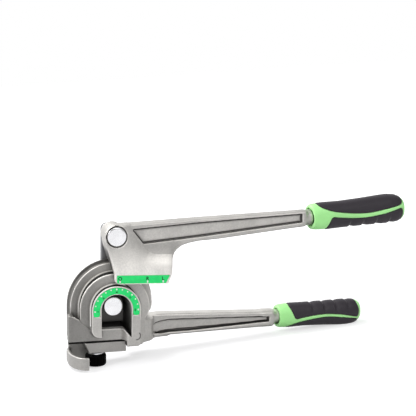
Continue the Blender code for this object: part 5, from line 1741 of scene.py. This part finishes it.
@dataclass
class Linkage:
    """Link behind the die with its two headed pins, washers and open rings."""

    pin_x: float
    pin_z: float
    front: float = 31.3
    thickness: float = 5.7
    half_width: float = 9.0
    top: float = 7.8
    corner: float = 5.6
    shank: float = 5.0
    groove: float = 4.1
    bore: float = 5.3
    ring_sweep: Pair = (205.0, 515.0)

    def build(self, bench: Bench) -> None:
        """Skin the link and turn the round pieces."""
        half, corner, high = self.half_width, self.corner, self.pin_z + self.top - self.corner
        outline = [arc_points((0.0, 0.0), half, 180.0, 360.0)]
        for centre_x, start in ((self.pin_x + half - corner, 0.0), (self.pin_x - half + corner, 90.0)):
            outline.append(arc_points((centre_x, high), corner, start, start + 90.0, 17))
        g = Lattice(runs((-10.2, 10.8, 0.6)), runs((30.4, 38.0, 0.475)), runs((-10.2, 76.0, 0.6)))
        x, y, z = g.axes
        values = g.prism(np.concatenate(outline), self.front, self.front + self.thickness, 0.7)
        for x0, z0 in ((0.0, 0.0), (self.pin_x, self.pin_z)):
            values = carved(values, (common(reach(x - x0, z - z0) - self.bore, slab(y, 20.0, 50.0)), 0.3))
        bench.add("link_bar", g.skinned(values), LINK_STEEL, Body.LINK, "link", sharp=SHARP_SKIN)
        self.pin(bench, "center", (0.0, 0.0, 0.0), (16.0, 3.5, 9.0), Body.BASE)
        self.pin(bench, "upper", (self.pin_x, 0.0, self.pin_z), (1.8, 4.5, 8.7), Body.LINK)

    def pin(self, bench: Bench, name: str, centre: Triple, head: Triple, body: Body) -> None:
        """Turn one pin with its washer and ring.

        Args:
            bench: Where pieces are made.
            name: First part of the pieces' names.
            centre: Point on the pin's axis.
            head: Y of the head's face, its thickness and its radius.
            body: Body that the pin is fixed to.
        """
        face, thick, wide = head
        shank, groove, back = self.shank, self.groove, self.front + self.thickness
        neck = back + 1.8
        end = neck + 1.6 + 1.4
        corners = [
            (0.01, face + 0.02), (wide - 1.6, face), (wide - 0.5, face + 0.12), (wide, face + 0.7),
            (wide, face + thick), (shank, face + thick), (shank, neck), (groove, neck), (groove, neck + 1.6),
            (shank, neck + 1.6), (shank, end), (0.01, end),
        ]
        profile = soften(np.array(corners), 0.3, closed=False, steps=4)
        washer = collar(self.bore, 8.0, back + 0.3, back + 1.5)
        ring = lathe(collar(4.4, 6.8, back + 2.1, back + 3.1), Axis.Y, centre, True, sweep=self.ring_sweep)
        for part, shell, finish in (
            ("pin", lathe(profile, Axis.Y, centre), PIN_PLATE),
            ("washer", lathe(washer, Axis.Y, centre, True), PIN_PLATE),
            ("ring", ring, DARK_STEEL),
        ):
            bench.add(f"{name}_{part}_body", shell, finish, body, f"{name}_{part}", recalculate=True)


@dataclass
class Studio:
    """Floor, lights, world and camera.

    Attributes:
        eye: Place of the camera.
        yaw: Turn of the camera to the right, in degrees, as are its pitch down and roll.
        floor_point: X and Z of a point that the floor passes through.
        floor_rise: Slope of the floor to the right in degrees.
        floor_half: Half side of the floor in metres.
        lamps: Name, place in metres, side in metres and power in watts of each lamp.
        target: Place in metres that the lamps face.
    """

    eye: Triple = (-163.59, -859.58, 230.51)
    yaw: float = 16.053
    pitch: float = 8.882
    roll: float = 0.760
    lens: float = 86.54
    sensor: float = 36.0
    floor_point: Pair = (-7.5, -53.5)
    floor_rise: float = 4.1
    floor_half: float = 6.0
    lamps: tuple[tuple[str, Triple, float, float], ...] = (
        ("lamp_top", (-0.45, 0.55, 0.95), 0.7, 10.0), ("lamp_left", (-0.95, -0.20, 0.60), 0.6, 6.5),
        ("lamp_front", (0.25, -1.15, 0.95), 0.8, 7.0),
    )
    target: Triple = (0.10, 0.0, 0.02)

    @staticmethod
    def placed(name: str, data: bpy.types.ID, columns: tuple[Array, ...] = ()) -> bpy.types.Object:
        """Add an object to the scene.

        Args:
            name: Its name.
            data: Its camera, light or mesh.
            columns: Its right, up and back directions and its place, if it is moved.

        Returns:
            The object.
        """
        thing = bpy.data.objects.new(name, data)
        if columns:
            matrix = np.eye(4)
            matrix[:3] = np.stack(columns, axis=1)
            thing.matrix_world = Matrix(matrix.tolist())
        bpy.context.scene.collection.objects.link(thing)
        return thing

    def camera(self) -> None:
        """Place the camera by its yaw, pitch and roll."""
        yaw, pitch, roll = (math.radians(angle) for angle in (self.yaw, self.pitch, self.roll))
        right = np.array([math.cos(yaw), -math.sin(yaw), 0.0])
        ahead = np.array([math.sin(yaw) * math.cos(pitch), math.cos(yaw) * math.cos(pitch), -math.sin(pitch)])
        up = np.cross(right, ahead)
        side = math.cos(roll) * right + math.sin(roll) * up
        top = -math.sin(roll) * right + math.cos(roll) * up
        place = (np.array(self.eye) - (0.0, PIN_FACE_Y, 0.0)) * MM
        data = bpy.data.cameras.new("camera")
        data.lens, data.sensor_width, data.sensor_fit = self.lens, self.sensor, "HORIZONTAL"
        data.clip_start, data.clip_end = 0.01, 50.0
        bpy.context.scene.camera = self.placed("camera", data, (side, top, -ahead, place))

    def floor(self) -> None:
        """Lay a wide pale floor that touches the knob and the lower grip."""
        half, slope = self.floor_half, math.tan(math.radians(self.floor_rise))
        x0, z0 = (part * MM for part in self.floor_point)
        sides = ((-half, -half), (half, -half), (half, half), (-half, half))
        corners = [(x, y, z0 + (x - x0) * slope) for x, y in sides]
        mesh = bpy.data.meshes.new("floor")
        mesh.from_pydata(corners, [], [(0, 1, 2, 3)])
        material = bpy.data.materials.new("floor_paper")
        g = Graph(material)
        tone = g.blend(g.band(g.noise(30.0), 0.3, 0.7), (0.52, 0.52, 0.53, 1.0), (0.54, 0.54, 0.55, 1.0))
        matt = g.wire(g.node("BsdfDiffuse", {}, {"Color": tone}))
        away = g.wire(g.node("VectorMath", {"operation": "LENGTH"}, {0: g.place()}), "Value")
        camera = g.wire(g.node("LightPath"), "Is Camera Ray")
        level = (g.seen() * 0.45 + camera * 0.55) * (g.band(away, 0.25, 1.1) * 0.40 + 0.57)
        glow = g.wire(g.node("Emission", {}, {"Color": (1.0, 1.0, 1.0, 1.0), "Strength": level}))
        g.node("OutputMaterial", {}, {"Surface": g.wire(g.node("AddShader", {}, {0: matt, 1: glow}))})
        mesh.materials.append(material)
        self.placed("floor", mesh)

    def world(self) -> None:
        """Light everything softly, and show the white backdrop behind the tool and in its metal.

        The camera sees 1 everywhere. Reflections see 1 towards the backdrop, less
        overhead and least towards the dark room in front.
        """
        world = bpy.data.worlds.new("studio")
        bpy.context.scene.world = world
        g = Graph(world)
        x, y, z = g.split(g.wire(g.node("TexCoord"), "Generated"))
        away, height, left = g.band(y, -0.35, 0.75), g.band(z, -0.05, 0.9), g.band(x * -1.0, -0.1, 0.9)
        camera, seen = g.wire(g.node("LightPath"), "Is Camera Ray"), g.seen()
        mirrored = away * (1.0 - height * 0.55) * 0.72 + left * 0.22 + 0.28
        light = height * 0.42 + away * 0.12 + 0.16
        strength = camera + (seen - camera) * mirrored + (1.0 - seen) * light
        background = g.node("Background", {}, {"Color": (1.0, 1.0, 1.0, 1.0), "Strength": strength})
        g.node("OutputWorld", {}, {"Surface": g.wire(background)})

    def lamp(self, name: str, place: Triple, size: float, power: float) -> None:
        """Hang a soft square lamp that faces the tool.

        Args:
            name: Name of the lamp.
            place: Its place in metres.
            size: Its side in metres.
            power: Its power in watts.
        """
        data = bpy.data.lights.new(name, "AREA")
        data.size, data.energy = size, power
        ahead = np.array(self.target) - np.array(place)
        ahead /= np.linalg.norm(ahead)
        right = np.cross(ahead, (0.0, 0.0, 1.0))
        right /= np.linalg.norm(right)
        self.placed(name, data, (right, np.cross(right, ahead), -ahead, np.array(place)))

    def build(self) -> None:
        """Set up the whole studio."""
        bpy.context.scene.view_settings.view_transform = "Standard"
        self.camera()
        self.floor()
        self.world()
        for lamp in self.lamps:
            self.lamp(*lamp)


@dataclass
class TubeBender:
    """The whole tool.

    Attributes:
        drums: Sizes that the die and the shoe share.
        upper_mouth: Place of the upper grip's mouth, in the upper pin's axes.
        lower_mouth: Place of the lower grip's mouth, in the tool's axes.
        lower_share: Size of the lower grip as a share of the upper grip's.
    """

    drums: Drums = field(default_factory=Drums)
    upper_mouth: Triple = (185.6, 12.3, 16.4)
    lower_mouth: Triple = (164.9, 38.15, -24.2)
    lower_share: float = 0.91

    def build(self, bench: Bench, nodes: dict[str, bpy.types.Object]) -> None:
        """Build every sub-assembly and dress the hidden nodes that stay.

        Args:
            bench: Where pieces are made.
            nodes: The CAD nodes by name.
        """
        shoe = ShoeHandle(self.drums)
        DieCasting(self.drums).build(bench)
        AngleLabel().build(bench)
        shoe.build(bench)
        upper, lower = shoe.matrix @ shift(*self.upper_mouth) @ turn_y(-shoe.rise), shift(*self.lower_mouth)
        Grip("upper", Body.HANDLE, 1.0, upper, False, (-6.0, 0.45), 8.7).build(bench)
        Grip("lower", Body.BASE, self.lower_share, lower, True, (-4.9, 0.6), 8.5, 2.4, 1.5).build(bench)
        Linkage(shoe.pin_x, shoe.pin_z).build(bench)
        HookLatch().build(bench)
        for name, finish in (("center_bush", BRONZE), ("upper_bush", BRONZE), ("latch_insert", BRASS)):
            mesh = nodes[name].data
            mesh.materials.clear()
            mesh.materials.append(bench.material(finish))


def main() -> None:
    """Build the scene and log how many pieces it made."""
    logging.basicConfig(level=logging.INFO, format="%(message)s")
    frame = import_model()
    bench = Bench()
    TubeBender().build(bench, frame["nodes"])
    Studio().build()
    LOG.info("%d pieces", bench.count)


if __name__ == "__main__":
    main()
